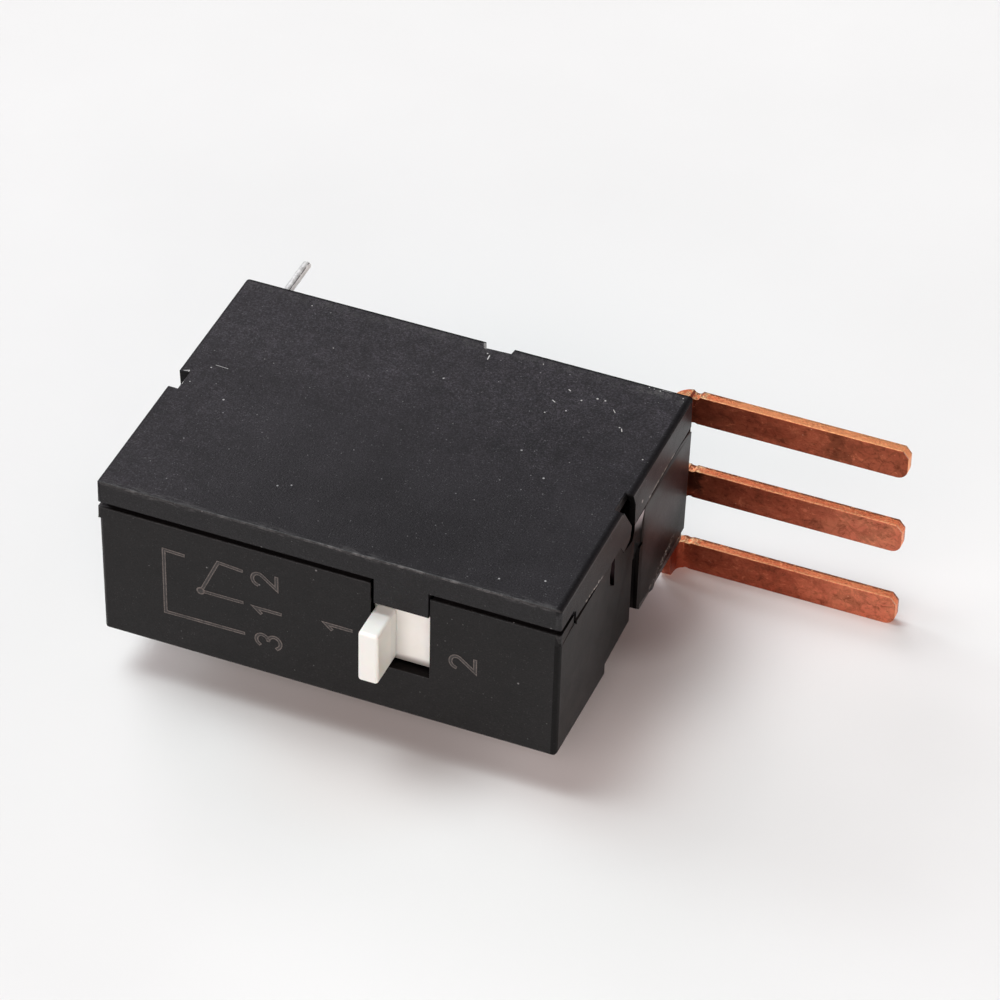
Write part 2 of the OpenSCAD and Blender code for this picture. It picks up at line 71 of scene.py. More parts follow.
class Tree:
    """Short names for shader nodes."""

    def __init__(self, tree, vec):
        self.t = tree
        self.mm = vec
        self._xyz = None
        self._nrm = None

    def link(self, a, b):
        self.t.links.new(a, b)

    def put(self, socket, value):
        if isinstance(value, bpy.types.NodeSocket):
            self.link(value, socket)
        else:
            socket.default_value = value

    def xyz(self, i):
        """Coordinate i of this tree's vector."""
        if self._xyz is None:
            n = self.t.nodes.new("ShaderNodeSeparateXYZ")
            self.link(self.mm, n.inputs[0])
            self._xyz = list(n.outputs)
        return self._xyz[i]

    def facing(self, i):
        """Coordinate i of the face's own normal."""
        if self._nrm is None:
            g = self.t.nodes.new("ShaderNodeNewGeometry")
            n = self.t.nodes.new("ShaderNodeSeparateXYZ")
            self.link(g.outputs["True Normal"], n.inputs[0])
            self._nrm = list(n.outputs)
        return self._nrm[i]

    def band(self, i, lo, hi, soft=0.05):
        """1 between lo and hi of coordinate i, with soft ends."""
        v = self.xyz(i)
        return self.math("MULTIPLY", self.step(v, lo - soft, lo + soft), self.step(v, hi + soft, hi - soft))

    def box(self, x=None, y=None, z=None, soft=0.05):
        """1 inside a box of the tree's coordinates."""
        out = None
        for i, r in enumerate((x, y, z)):
            if r:
                b = self.band(i, r[0], r[1], soft)
                out = b if out is None else self.math("MULTIPLY", out, b)
        return out

    def vmath(self, op, a, b=None):
        n = self.t.nodes.new("ShaderNodeVectorMath")
        n.operation = op
        self.put(n.inputs[0], a)
        if b is not None:
            self.put(n.inputs[1], b)
        return n.outputs["Value"] if op in ("DOT_PRODUCT", "LENGTH", "DISTANCE") else n.outputs["Vector"]

    def spot(self, centre, r):
        """1 at a point, 0 from the radius on."""
        return self.step(self.vmath("DISTANCE", self.mm, centre), r, r * 0.35)

    def dash(self, a, b, r):
        """1 on a short line between two points."""
        a, b = Vector(a), Vector(b)
        d = b - a
        rel = self.vmath("SUBTRACT", self.mm, tuple(a))
        t = self.math("DIVIDE", self.vmath("DOT_PRODUCT", rel, tuple(d)), d.length_squared, clamp=True)
        n = self.t.nodes.new("ShaderNodeVectorMath")
        n.operation = "SCALE"
        n.inputs[0].default_value = tuple(d)
        self.link(t, n.inputs["Scale"])
        return self.step(self.vmath("DISTANCE", rel, n.outputs["Vector"]), r, r * 0.4)

    def math(self, op, a, b=0.0, c=None, clamp=False):
        n = self.t.nodes.new("ShaderNodeMath")
        n.operation = op
        n.use_clamp = clamp
        self.put(n.inputs[0], a)
        self.put(n.inputs[1], b)
        if c is not None:
            self.put(n.inputs[2], c)
        return n.outputs[0]

    def stretch(self, scale, turn=(0, 0, 0)):
        mp = self.t.nodes.new("ShaderNodeMapping")
        mp.inputs["Scale"].default_value = scale
        mp.inputs["Rotation"].default_value = turn
        self.link(self.mm, mp.inputs["Vector"])
        return mp.outputs["Vector"]

    def noise(self, scale, detail=4, rough=0.55, vec=None, distort=0.0, shift=0.0):
        n = self.t.nodes.new("ShaderNodeTexNoise")
        n.inputs["Scale"].default_value = scale
        n.inputs["Detail"].default_value = detail
        n.inputs["Roughness"].default_value = rough
        n.inputs["Distortion"].default_value = distort
        v = vec or self.mm
        if shift:
            mp = self.t.nodes.new("ShaderNodeMapping")
            mp.inputs["Location"].default_value = (shift, shift * 1.7, -shift * 0.6)
            self.link(v, mp.inputs["Vector"])
            v = mp.outputs["Vector"]
        self.link(v, n.inputs["Vector"])
        return n.outputs["Fac"]

    def cells(self, scale, vec=None, feature="F1", rand=1.0):
        n = self.t.nodes.new("ShaderNodeTexVoronoi")
        n.feature = feature
        n.inputs["Scale"].default_value = scale
        n.inputs["Randomness"].default_value = rand
        self.link(vec or self.mm, n.inputs["Vector"])
        return n.outputs["Distance"]

    def step(self, value, lo, hi):
        """0 below lo, 1 above hi; lo may be the larger one."""
        n = self.t.nodes.new("ShaderNodeMapRange")
        n.interpolation_type = "SMOOTHSTEP"
        self.put(n.inputs["Value"], value)
        if lo > hi:
            lo, hi = hi, lo
            n.inputs["To Min"].default_value = 1
            n.inputs["To Max"].default_value = 0
        n.inputs["From Min"].default_value = lo
        n.inputs["From Max"].default_value = hi
        return n.outputs["Result"]

    def ramp(self, fac, stops):
        n = self.t.nodes.new("ShaderNodeValToRGB")
        r = n.color_ramp
        while len(r.elements) < len(stops):
            r.elements.new(0.5)
        for e, (p, c) in zip(r.elements, stops):
            e.position = p
            e.color = tuple(c) + (1,) if len(c) == 3 else c
        self.link(fac, n.inputs["Fac"])
        return n.outputs["Color"]

    def mix(self, fac, a, b, how="MIX"):
        n = self.t.nodes.new("ShaderNodeMix")
        n.data_type = "RGBA"
        n.blend_type = how
        n.clamp_factor = True
        self.put(n.inputs["Factor"], fac)
        for s, v in ((6, a), (7, b)):
            self.put(n.inputs[s], v if isinstance(v, bpy.types.NodeSocket) else tuple(v) + (1,))
        return n.outputs[2]

    def bump(self, height, distance_mm, strength=1.0, under=None):
        n = self.t.nodes.new("ShaderNodeBump")
        n.inputs["Strength"].default_value = strength
        n.inputs["Distance"].default_value = distance_mm / 1000
        self.link(height, n.inputs["Height"])
        if under:
            self.link(under, n.inputs["Normal"])
        return n.outputs["Normal"]


class Mat(Tree):
    """A node material; its vector is the housing coordinate in millimetres."""

    def __init__(self, name):
        self.m = bpy.data.materials.new(name)
        self.m.use_nodes = True
        t = self.m.node_tree
        self.b = t.nodes["Principled BSDF"]
        tc = t.nodes.new("ShaderNodeTexCoord")
        mp = t.nodes.new("ShaderNodeMapping")
        mp.inputs["Scale"].default_value = (1000, 1000, 1000)
        mp.inputs["Location"].default_value = (OX, OY, 0)
        t.links.new(tc.outputs["Object"], mp.inputs["Vector"])
        super().__init__(t, mp.outputs["Vector"])

    def set(self, **kw):
        names = {"color": "Base Color", "rough": "Roughness", "metal": "Metallic", "normal": "Normal",
                 "ior": "IOR", "coat": "Coat Weight", "coat_rough": "Coat Roughness", "spec": "Specular IOR Level",
                 "sss": "Subsurface Weight", "sss_scale": "Subsurface Scale", "tint": "Specular Tint"}
        for k, v in kw.items():
            s = self.b.inputs[names[k]]
            if isinstance(v, tuple) and len(v) == 3:
                v = v + (1,)
            self.put(s, v)
        return self.m


def black_plastic(name, dark, light, rough=(0.36, 0.48), specks=1.0, grain=1.0):
    """Charcoal moulded plastic: spark-eroded grain, soft cloudy wear, pale specks of dust."""
    k = Mat(name)
    cloud = k.noise(0.22, 5, 0.6)
    smear = k.noise(0.9, 4, 0.6, vec=k.stretch((1.0, 0.35, 1.0), (0, 0, 0.5)), shift=7)
    fine = k.noise(4.2, 3, 0.7, shift=3)
    f = k.math("ADD", k.math("MULTIPLY", cloud, 0.45), k.math("MULTIPLY", smear, 0.2))
    f = k.math("ADD", f, k.math("MULTIPLY", fine, 0.35))
    col = k.ramp(f, [(0.36, dark), (0.66, light)])
    # grain as fine as the moulding's texture
    tex = k.noise(7.5, 2, 0.6, shift=5)
    lo, hi = 1 - 0.62 * grain, 1 + 0.78 * grain
    col = k.mix(1.0, col, k.ramp(tex, [(0.32, (lo, lo, lo)), (0.68, (hi, hi, hi * 1.03))]), "MULTIPLY")
    # dust: a few sharp points, more small ones, and a fine scatter
    s1 = k.math("MULTIPLY", k.step(k.cells(0.5), 0.055, 0.03), k.step(k.noise(0.4, 1, shift=11), 0.46, 0.5))
    s2 = k.math("MULTIPLY", k.step(k.cells(1.35), 0.10, 0.04), k.step(k.noise(0.9, 2, shift=19), 0.5, 0.58))
    s3 = k.math("MULTIPLY", k.step(k.cells(4.4), 0.27, 0.10), k.step(k.noise(1.7, 3, shift=15), 0.44, 0.62))
    s = k.math("MAXIMUM", k.math("MULTIPLY", s1, 0.9), k.math("MULTIPLY", s2, 0.42))
    s = k.math("MULTIPLY", k.math("MAXIMUM", s, k.math("MULTIPLY", s3, 0.13)), 1.0 * specks, clamp=True)
    col = k.mix(s, col, (0.46, 0.46, 0.47))
    n = k.bump(k.math("ADD", k.math("MULTIPLY", tex, 0.8), k.math("MULTIPLY", fine, 0.4)), 0.03 * grain, 0.8)
    h2 = k.noise(0.16, 2, 0.5, shift=23)
    n = k.bump(h2, 0.12, 0.3, n)
    r = k.math("MULTIPLY_ADD", k.noise(0.6, 4, 0.6, shift=29), rough[1] - rough[0], rough[0])
    return k, col, n, r, s


def cover_plastic():
    k, col, n, r, s = black_plastic("cover_plastic", (0.0085, 0.0079, 0.0092), (0.0190, 0.0176, 0.0202))
    x, y, z = k.xyz(0), k.xyz(1), k.xyz(2)
    on_top = k.step(z, T - 0.35, T - 0.05)
    # painted sheen: the top is lighter towards its rear and its left end
    top_sheen = k.math("ADD", k.math("MULTIPLY", k.step(y, 2.0, 30.0), 0.42), k.math("MULTIPLY", k.step(x, 40.0, -2.0), 0.30))
    top_sheen = k.math("ADD", top_sheen, k.math("MULTIPLY", k.step(y, 16.0, 26.0), 0.75))
    col = k.mix(k.math("MULTIPLY", top_sheen, on_top), col, k.mix(1.0, col, (0.0088, 0.0082, 0.0092), "ADD"))
    # coarser grain and cloudy blotches on the rear half and the left
    tex2 = k.noise(5.2, 3, 0.75, shift=45)
    blot = k.noise(0.75, 4, 0.65, distort=0.8, shift=47)
    far = k.math("MULTIPLY", k.math("MAXIMUM", k.step(y, 6.0, 22.0), k.step(x, 14.0, 2.0)), on_top)
    col = k.mix(k.math("MULTIPLY", far, 0.9), col, k.mix(1.0, col, k.ramp(tex2, [(0.36, (0.42, 0.42, 0.41)), (0.50, (0.92, 0.92, 0.92)), (0.64, (1.9, 1.86, 1.95))]), "MULTIPLY"))
    col = k.mix(k.math("MULTIPLY", far, 0.7), col, k.mix(1.0, col, k.ramp(blot, [(0.36, (0.72, 0.74, 0.74)), (0.64, (1.28, 1.24, 1.24))]), "MULTIPLY"))
    # painted shade: the top darker towards the middle of its front edge
    painted_dim = k.math("MULTIPLY", k.step(k.vmath("DISTANCE", k.mm, (21.0, -3.0, T)), 19.0, 6.0), on_top)
    col = k.mix(k.math("MULTIPLY", painted_dim, 0.42), col, (0.003, 0.0028, 0.0032))
    # painted shade: the upright front is darker
    front = k.math("MULTIPLY", k.step(y, 0.3, 0.1), k.step(z, T - 0.06, T - 0.3))
    col = k.mix(k.math("MULTIPLY", front, 0.62), col, (0.0028, 0.0025, 0.0027))
    # pale patches along the rear edge of the top
    rear = k.math("MULTIPLY", k.step(y, 26.6, 28.0), k.step(k.noise(2.6, 4, 0.7, shift=51), 0.45, 0.62))
    rear = k.math("MULTIPLY", rear, k.math("MULTIPLY_ADD", k.step(x, 33.0, 35.5), 0.3, 0.24))
    col = k.mix(k.math("MULTIPLY", rear, on_top), col, (0.11, 0.108, 0.105))
    # painted shade: the rear edge of the top and the cover's rear face darkened
    col = k.mix(k.math("MULTIPLY", k.step(y, W - 0.42, W - 0.22), 0.8), col, (0.0025, 0.0022, 0.0035))
    # the pale line along the front edge: partly wear, partly painted highlight
    rubbed_and_highlight = k.math("MULTIPLY", k.step(k.noise(1.5, 5, 0.72, vec=k.stretch((0.6, 2.4, 2.4)), shift=81), 0.44, 0.64),
                    k.step(k.noise(0.16, 2, 0.5, shift=85), 0.36, 0.6))
    lip = k.math("MULTIPLY", k.step(y, 0.85, 0.15), k.step(z, T - 0.5, T - 0.12))
    col = k.mix(k.math("MULTIPLY", k.math("MULTIPLY", rubbed_and_highlight, lip), 0.9), col, (0.062, 0.060, 0.062))
    # painted shade: the side skirt is darker in front of the latch
    side = k.math("MULTIPLY", k.math("MULTIPLY", k.step(x, L - 0.12, L - 0.04), k.step(z, T - 0.3, T - 0.6)), k.step(y, 19.0, 15.5))
    col = k.mix(k.math("MULTIPLY", side, 0.7), col, (0.0025, 0.0023, 0.0024))
    # scratches and chipped spots
    marks = [k.dash((21.94, 26.8, T), (21.97, 26.3, T), 0.06), k.dash((2.42, 16.94, T), (3.5, 16.89, T), 0.028),
             k.dash((28.67, 23.52, T), (28.95, 23.35, T), 0.045), k.dash((29.38, 25.28, T), (29.55, 25.17, T), 0.06),
             k.dash((36.2, 28.2, T), (37.1, 28.22, T), 0.05), k.dash((35.0, 22.3, T), (35.15, 22.0, T), 0.05),
             k.dash((0.17, 15.2, T), (0.76, 15.5, T), 0.05), k.dash((0.76, 15.5, T), (0.93, 13.7, T), 0.05),
             k.dash((33.55, 24.3, T), (33.8, 24.0, T), 0.04)]
    marks += [k.spot((px, py, T), pr) for px, py, pr in (
        (30.79, 24.39, 0.105), (31.89, 25.09, 0.12), (32.55, 25.1, 0.10), (35.13, 28.1, 0.07), (35.57, 28.05, 0.06),
        (36.1, 28.0, 0.075), (38.3, 27.45, 0.07), (38.1, 27.85, 0.08), (28.68, 21.84, 0.08), (21.69, 27.0, 0.09),
        (6.3, 27.1, 0.07), (10.1, 22.7, 0.07), (26.3, 27.5, 0.07), (1.4, 14.2, 0.07), (34.8, 22.4, 0.09), (37.9, 19.4, 0.085))]
    m = marks[0]
    for q in marks[1:]:
        m = k.math("MAXIMUM", m, q)
    col = k.mix(k.math("MULTIPLY", m, 0.95), col, (0.56, 0.555, 0.55))
    chip = k.math("MULTIPLY", k.dash((21.1, 28.15, T), (21.3, 27.7, T), 0.26), k.step(k.noise(3.0, 3, 0.6, shift=61), 0.35, 0.5))
    col = k.mix(k.math("MULTIPLY", chip, 0.75), col, (0.36, 0.355, 0.35))
    # pale rub along the skirt's lower edge, by the front step and by the latch
    rub = k.math("MAXIMUM", k.dash((L, 5.2, 11.84), (L, 7.0, 11.78), 0.11), k.dash((L, 18.9, 11.88), (L, 20.3, 12.02), 0.10))
    for q in (k.dash((L, 20.3, 12.02), (L, 22.5, 12.13), 0.115), k.dash((L, 22.5, 12.13), (L, 24.3, 12.19), 0.09), k.dash((L, 7.0, 11.70), (L, 8.9, 11.58), 0.08)):
        rub = k.math("MAXIMUM", rub, q)
    rub = k.math("MULTIPLY", rub, k.step(k.noise(3.2, 3, 0.6, shift=91), 0.42, 0.56))
    rub = k.math("MAXIMUM", rub, k.math("MAXIMUM", k.spot((L, 17.25, 12.71), 0.2), k.spot((L, 7.98, 11.74), 0.2)))
    col = k.mix(k.math("MULTIPLY", rub, 0.9), col, (0.44, 0.40, 0.37))
    # painted shade in the latch notches
    inside = k.math("MAXIMUM", k.step(k.facing(0), 0.9, 0.8), k.step(x, L - 0.2, L - 0.3))
    pit_shade = k.math("MAXIMUM", k.math("MULTIPLY", k.box((37.9, 38.9), (12.7, 15.95), (10.5, 14.96), 0.02), inside),
                 k.math("MULTIPLY", k.box((0.01, 0.9), (12.7, 15.5), (11.3, 14.9), 0.03), 0.8))
    col = k.mix(pit_shade, col, k.mix(k.step(y, 14.9, 13.9), (0.0040, 0.0038, 0.0040), (0.0078, 0.0072, 0.0084)))
    spec = k.math("MULTIPLY_ADD", k.math("MAXIMUM", k.math("MULTIPLY", pit_shade, 0.8), k.math("MULTIPLY", side, 0.42)), -0.24, 0.24)
    return k.set(color=col, normal=n, rough=r, spec=spec)


def base_plastic():
    k, col, n, r, s = black_plastic("base_plastic", (0.0042, 0.0037, 0.0038), (0.0080, 0.0071, 0.0073),
                                    (0.34, 0.44), 0.35, 0.6)
    # painted shade in the window's sill and reveals, the rim inside the notches, the coring groove
    pit_shade = k.box((23.0, 28.2), (0.12, 1.3), (4.0, 12.5), 0.04)
    for q in (k.box((37.4, 38.5), (12.4, 16.0), (11.35, 14.0), 0.04), k.math("MULTIPLY", k.box((37.6, 38.45), (15.5, 17.35), (-0.5, 7.95), 0.04), 0.25)):
        pit_shade = k.math("MAXIMUM", pit_shade, q)
    # painted shade in the open joint and the ledge behind the latch, the seam under the tongue, the shadow groove, the
    # vent slot
    slots = k.math("MAXIMUM", k.box((L - 1.2, L + 0.1), (3.6, 15.78), (8.2, 12.1), 0.012), k.math("MULTIPLY", k.box((L - 1.2, L + 0.1), (3.02, 3.6), (10.9, 11.8), 0.012), 0.8))
    inside = k.math("MAXIMUM", k.step(k.facing(0), 0.9, 0.8), k.step(k.xyz(0), L - 0.28, L - 0.32))
    ledge = k.math("MULTIPLY", k.box((L - 0.9, L + 0.1), (15.7, W), (11.3, 12.3), 0.02), k.step(k.facing(2), 0.6, 0.8))
    pit_shade = k.math("MAXIMUM", pit_shade, k.math("MAXIMUM", k.math("MULTIPLY", slots, inside), ledge))
    # painted shade: the right wall is darker in front of the groove, its reflection weaker
    x, y, z = k.xyz(0), k.xyz(1), k.xyz(2)
    on_side = k.step(x, L - 0.5, L - 0.4)
    wall_shade = k.math("MULTIPLY", k.math("MULTIPLY", on_side, k.step(y, 18.3, 17.9)), k.math("MULTIPLY_ADD", k.step(y, 5.0, 15.0), 0.50, 0.48))
    col = k.mix(wall_shade, col, (0.0028, 0.0024, 0.0024))
    # painted highlight on the ramp above the groove: pale at its top, fading down and to the front
    ramp = k.math("MULTIPLY", k.box((L - 0.5, L + 0.1), (15.87, 17.94), (9.2, 11.42), 0.03),
                  k.step(k.math("ADD", k.math("MULTIPLY", z, 1.0), k.math("MULTIPLY", y, 0.55)), 19.0, 21.2))
    ramp = k.math("MULTIPLY", ramp, k.math("MULTIPLY_ADD", k.noise(2.2, 3, 0.6, shift=95), 0.6, 0.6))
    col = k.mix(ramp, col, (0.56, 0.51, 0.53))
    # pale broken lines: along the joint, over the groove, along the sealing recess
    rub = k.dash((L - 0.03, 18.3, 11.46), (L - 0.03, 20.0, 11.72), 0.03)
    for q in (k.dash((L - 0.1, 15.6, 7.95), (L - 0.1, 17.3, 7.93), 0.04),
              k.dash((L - 0.12, 10.5, 1.24), (L - 0.12, 15.6, 1.58), 0.07),
              k.dash((L - 0.17, 5.0, 0.08), (L - 0.17, 10.4, 0.08), 0.13),
              k.spot((L - 0.05, 26.4, 11.0), 0.12)):
        rub = k.math("MAXIMUM", rub, q)
    rub = k.math("MULTIPLY", rub, k.step(k.noise(3.2, 3, 0.6, shift=91), 0.36, 0.56))
    col = k.mix(k.math("MULTIPLY", rub, 0.75), col, (0.30, 0.27, 0.25))
    # resin specks along the wall's ragged lower rear edge: dark specks, and pale ones that are painted glints
    away = k.math("ABSOLUTE", k.math("SUBTRACT", z, k.math("MULTIPLY_ADD", y, 0.30, -4.9)))
    flecks = k.math("MULTIPLY", k.math("MULTIPLY", on_side, k.step(away, 0.55, 0.2)), k.math("MULTIPLY", k.step(y, 19.6, 20.4), k.step(y, 25.9, 25.3)))
    grit = k.noise(5.0, 4, 0.75, shift=37)
    col = k.mix(k.math("MULTIPLY", flecks, k.step(grit, 0.50, 0.44)), col, (0.0015, 0.0015, 0.0015))
    col = k.mix(k.math("MULTIPLY", flecks, k.step(grit, 0.555, 0.60)), col, (0.42, 0.39, 0.36))
    # the end wall of the ramp's recess catches the light
    catch = k.math("MULTIPLY", k.box((L - 0.6, L + 0.1), (17.85, 18.05), (7.95, 11.3), 0.03), k.step(k.facing(1), -0.6, -0.8))
    col = k.mix(catch, col, (0.034, 0.029, 0.029))
    # painted glints: pale specks near the lower rear corner
    crumb_glints = k.math("MAXIMUM", k.dash((L, 24.55, 2.55), (L, 24.85, 2.0), 0.2), k.spot((L, 25.15, 1.75), 0.2))
    crumb_glints = k.math("MULTIPLY", k.math("MULTIPLY", crumb_glints, on_side), k.step(k.noise(5.5, 3, 0.6, shift=99), 0.48, 0.56))
    col = k.mix(k.math("MULTIPLY", crumb_glints, 0.8), col, (0.24, 0.22, 0.21))
    # painted reflected light: a warm cast from the copper added to the rear of the right wall, and its reflections
    # tinted warm
    near_bars = k.math("MULTIPLY", k.math("MULTIPLY", on_side, k.step(y, 17.9, 19.5)), k.step(z, 11.0, 9.5))
    col = k.mix(k.math("MULTIPLY", near_bars, k.step(z, 3.5, 7.5)), col, k.mix(1.0, col, (0.020, 0.011, 0.011), "ADD"))
    warm_reflection = k.mix(k.math("MULTIPLY", on_side, k.step(y, 14.0, 22.0)), (1.0, 1.0, 1.0), (0.98, 0.78, 0.77))
    behind = k.math("MULTIPLY", k.math("MULTIPLY", on_side, k.step(y, 17.2, 17.9)), k.step(z, 11.0, 9.5))
    low = k.math("MAXIMUM", k.math("MULTIPLY", wall_shade, 0.85), k.math("MULTIPLY", behind, k.math("MULTIPLY_ADD", k.step(z, 7.5, 3.0), 0.24, 0.55)))
    spec = k.math("MULTIPLY_ADD", k.math("MAXIMUM", pit_shade, low), -0.2, 0.2)
    # painted highlights: pale orange-peel specks on the rear of the right wall
    peel_highlights = k.math("MULTIPLY", k.math("MULTIPLY", near_bars, k.box(None, (18.8, 26.8), (4.2, 9.8), 0.8)), k.step(k.noise(4.6, 3, 0.7, shift=101), 0.53, 0.64))
    col = k.mix(k.math("MULTIPLY", peel_highlights, 0.5), col, (0.060, 0.050, 0.052))
    # painted shade: the recesses gathered above made near-black
    col = k.mix(pit_shade, col, (0.0008, 0.0008, 0.0008))
    # painted shade on the window sill
    sill_shade = k.math("MULTIPLY", k.box((22.9, 28.3), (0.12, 2.5), (3.8, 5.0), 0.04), k.step(k.facing(2), 0.6, 0.8))
    col = k.mix(k.math("MULTIPLY", sill_shade, 0.9), col, (0.013, 0.0117, 0.0113))
    # painted light: the inside of the vent slot paler than the plastic
    vent_light = k.math("MULTIPLY", k.box((L - 1.2, L + 0.1), (8.8, 11.6), (8.2, 11.1), 0.03), inside)
    col = k.mix(vent_light, col, (0.020, 0.013, 0.015))
    # light that reaches into the shallow shadow groove and the front joint
    shallow = k.math("MAXIMUM", k.box((L - 0.6, L + 0.1), (0.3, 3.0), (10.9, 11.8), 0.03), k.math("MULTIPLY", k.box((L - 1.2, L + 0.1), (3.5, 8.6), (11.25, 12.1), 0.03), 0.45))
    col = k.mix(k.math("MULTIPLY", k.math("MULTIPLY", shallow, inside), 0.9), col, (0.040, 0.034, 0.034))
    return k.set(color=col, normal=n, rough=r, spec=spec, tint=warm_reflection)


cover_mat = cover_plastic()
base_mat = base_plastic()


def worn_edge_highlight(name, amount, base, bright, spec=0.28, coarse=0.55):
    """Moulding edge: a pale line broken up by noise, partly wear and partly a painted highlight."""
    k, col, n, r, s = black_plastic(name, base, tuple(c * 1.5 for c in base), (0.33, 0.45), 0.6, 0.7)
    a = k.noise(coarse * 0.3, 3, 0.6, shift=41)
    b = k.noise(2.6, 5, 0.75, vec=k.stretch((0.6, 1, 1)), shift=43)
    m = k.math("MULTIPLY", k.step(a, 0.38, 0.60), k.step(b, 0.40, 0.66))
    col = k.mix(k.math("MULTIPLY", m, amount), col, bright)
    # painted shade: the upright edge at the front right corner is darkened and dulled
    painted_dim = k.box((L - 0.9, L + 1), (-1, 0.8), (-1, 11.7), 0.05)
    col = k.mix(k.math("MULTIPLY", painted_dim, 0.85), col, (0.0030, 0.0027, 0.0028))
    return k.set(color=col, normal=n, rough=r, spec=k.math("MULTIPLY_ADD", painted_dim, -0.5 * spec, spec))


def cover_edge():
    """Rounded edges of the cover: painted shade in the middle of the rounding, with a painted highlight line below it
    at the rear.
    """
    k, col, n, r, s = black_plastic("cover_edge", (0.0085, 0.0080, 0.0090), (0.0150, 0.0140, 0.0158), (0.36, 0.48), 0.5, 0.8)
    x, y, z = k.xyz(0), k.xyz(1), k.xyz(2)
    across = k.math("MULTIPLY_ADD", k.math("SUBTRACT", x, z), 1 / 1.04, -(L - 0.52 - T) / 1.04)
    across = k.math("ADD", across, k.math("MULTIPLY_ADD", k.noise(1.1, 4, 0.7, shift=65), 0.3, -0.15))
    right = k.step(x, L - 0.62, L - 0.54)
    # painted shade: the middle of the right top rounding darkened
    dark = k.math("MULTIPLY", k.step(across, -0.05, 0.40), k.step(across, 0.95, 0.50))
    dark = k.math("MULTIPLY_ADD", right, k.math("SUBTRACT", dark, 1.0), 1.0)
    col = k.mix(k.math("MULTIPLY", dark, 0.6), col, (0.0034, 0.0032, 0.0038))
    # painted highlight: a pale broken line below the dark band at the rear
    line = k.math("MULTIPLY", k.math("MULTIPLY", k.step(across, 0.72, 0.84), k.step(y, 20.0, 25.0)), k.step(k.noise(2.4, 4, 0.7, shift=67), 0.4, 0.6))
    col = k.mix(k.math("MULTIPLY", k.math("MULTIPLY", line, right), 0.8), col, (0.07, 0.068, 0.068))
    spec = k.math("MULTIPLY_ADD", dark, -0.10, 0.24)
    spec = k.math("MULTIPLY", spec, k.step(y, W - 0.1, W - 0.3))
    return k.set(color=col, normal=n, rough=r, spec=spec)


cover_edge_mat = cover_edge()
cover_front_edge_mat = worn_edge_highlight("cover_front_edge", 0.95, (0.014, 0.0135, 0.0140), (0.105, 0.102, 0.103), 0.24)
base_edge_mat = worn_edge_highlight("base_edge", 0.3, (0.0105, 0.0098, 0.010), (0.045, 0.043, 0.042), 0.2)


def ivory():
    k = Mat("lever_ivory")
    c = k.ramp(k.noise(0.5, 4, 0.6), [(0.35, (0.79, 0.80, 0.765)), (0.7, (0.83, 0.845, 0.815))])
    # painted shadow on the card beside the knob and along its lower edge
    on_card = k.step(k.xyz(1), 0.9, 1.0)
    card_shadow = k.math("MAXIMUM", k.math("MULTIPLY", k.step(k.xyz(0), 26.2, 24.6), 0.28), k.math("MULTIPLY", k.step(k.xyz(2), 5.35, 4.7), 0.8))
    c = k.mix(k.math("MULTIPLY", on_card, card_shadow), c, (0.16, 0.145, 0.13))
    # painted light and shade on the knob: its end face a little greyer, its upper and right faces paler
    c = k.mix(k.step(k.xyz(1), -2.3, -2.45), c, (0.765, 0.785, 0.76))
    c = k.mix(k.math("MULTIPLY", k.step(k.facing(2), 0.5, 0.9), k.step(k.xyz(1), 0.1, -0.1)), c, (0.93, 0.935, 0.905))
    c = k.mix(k.math("MULTIPLY", k.step(k.facing(0), 0.5, 0.9), k.step(k.xyz(1), 0.1, -0.1)), c, (0.87, 0.865, 0.81))
    n = k.bump(k.noise(7, 3, 0.6), 0.012, 0.5)
    r = k.math("MULTIPLY_ADD", k.noise(1.2, 4, 0.6, shift=9), 0.16, 0.36)
    return k.set(color=c, normal=n, rough=r, sss=0.12, sss_scale=0.0006)


lever_mat = ivory()


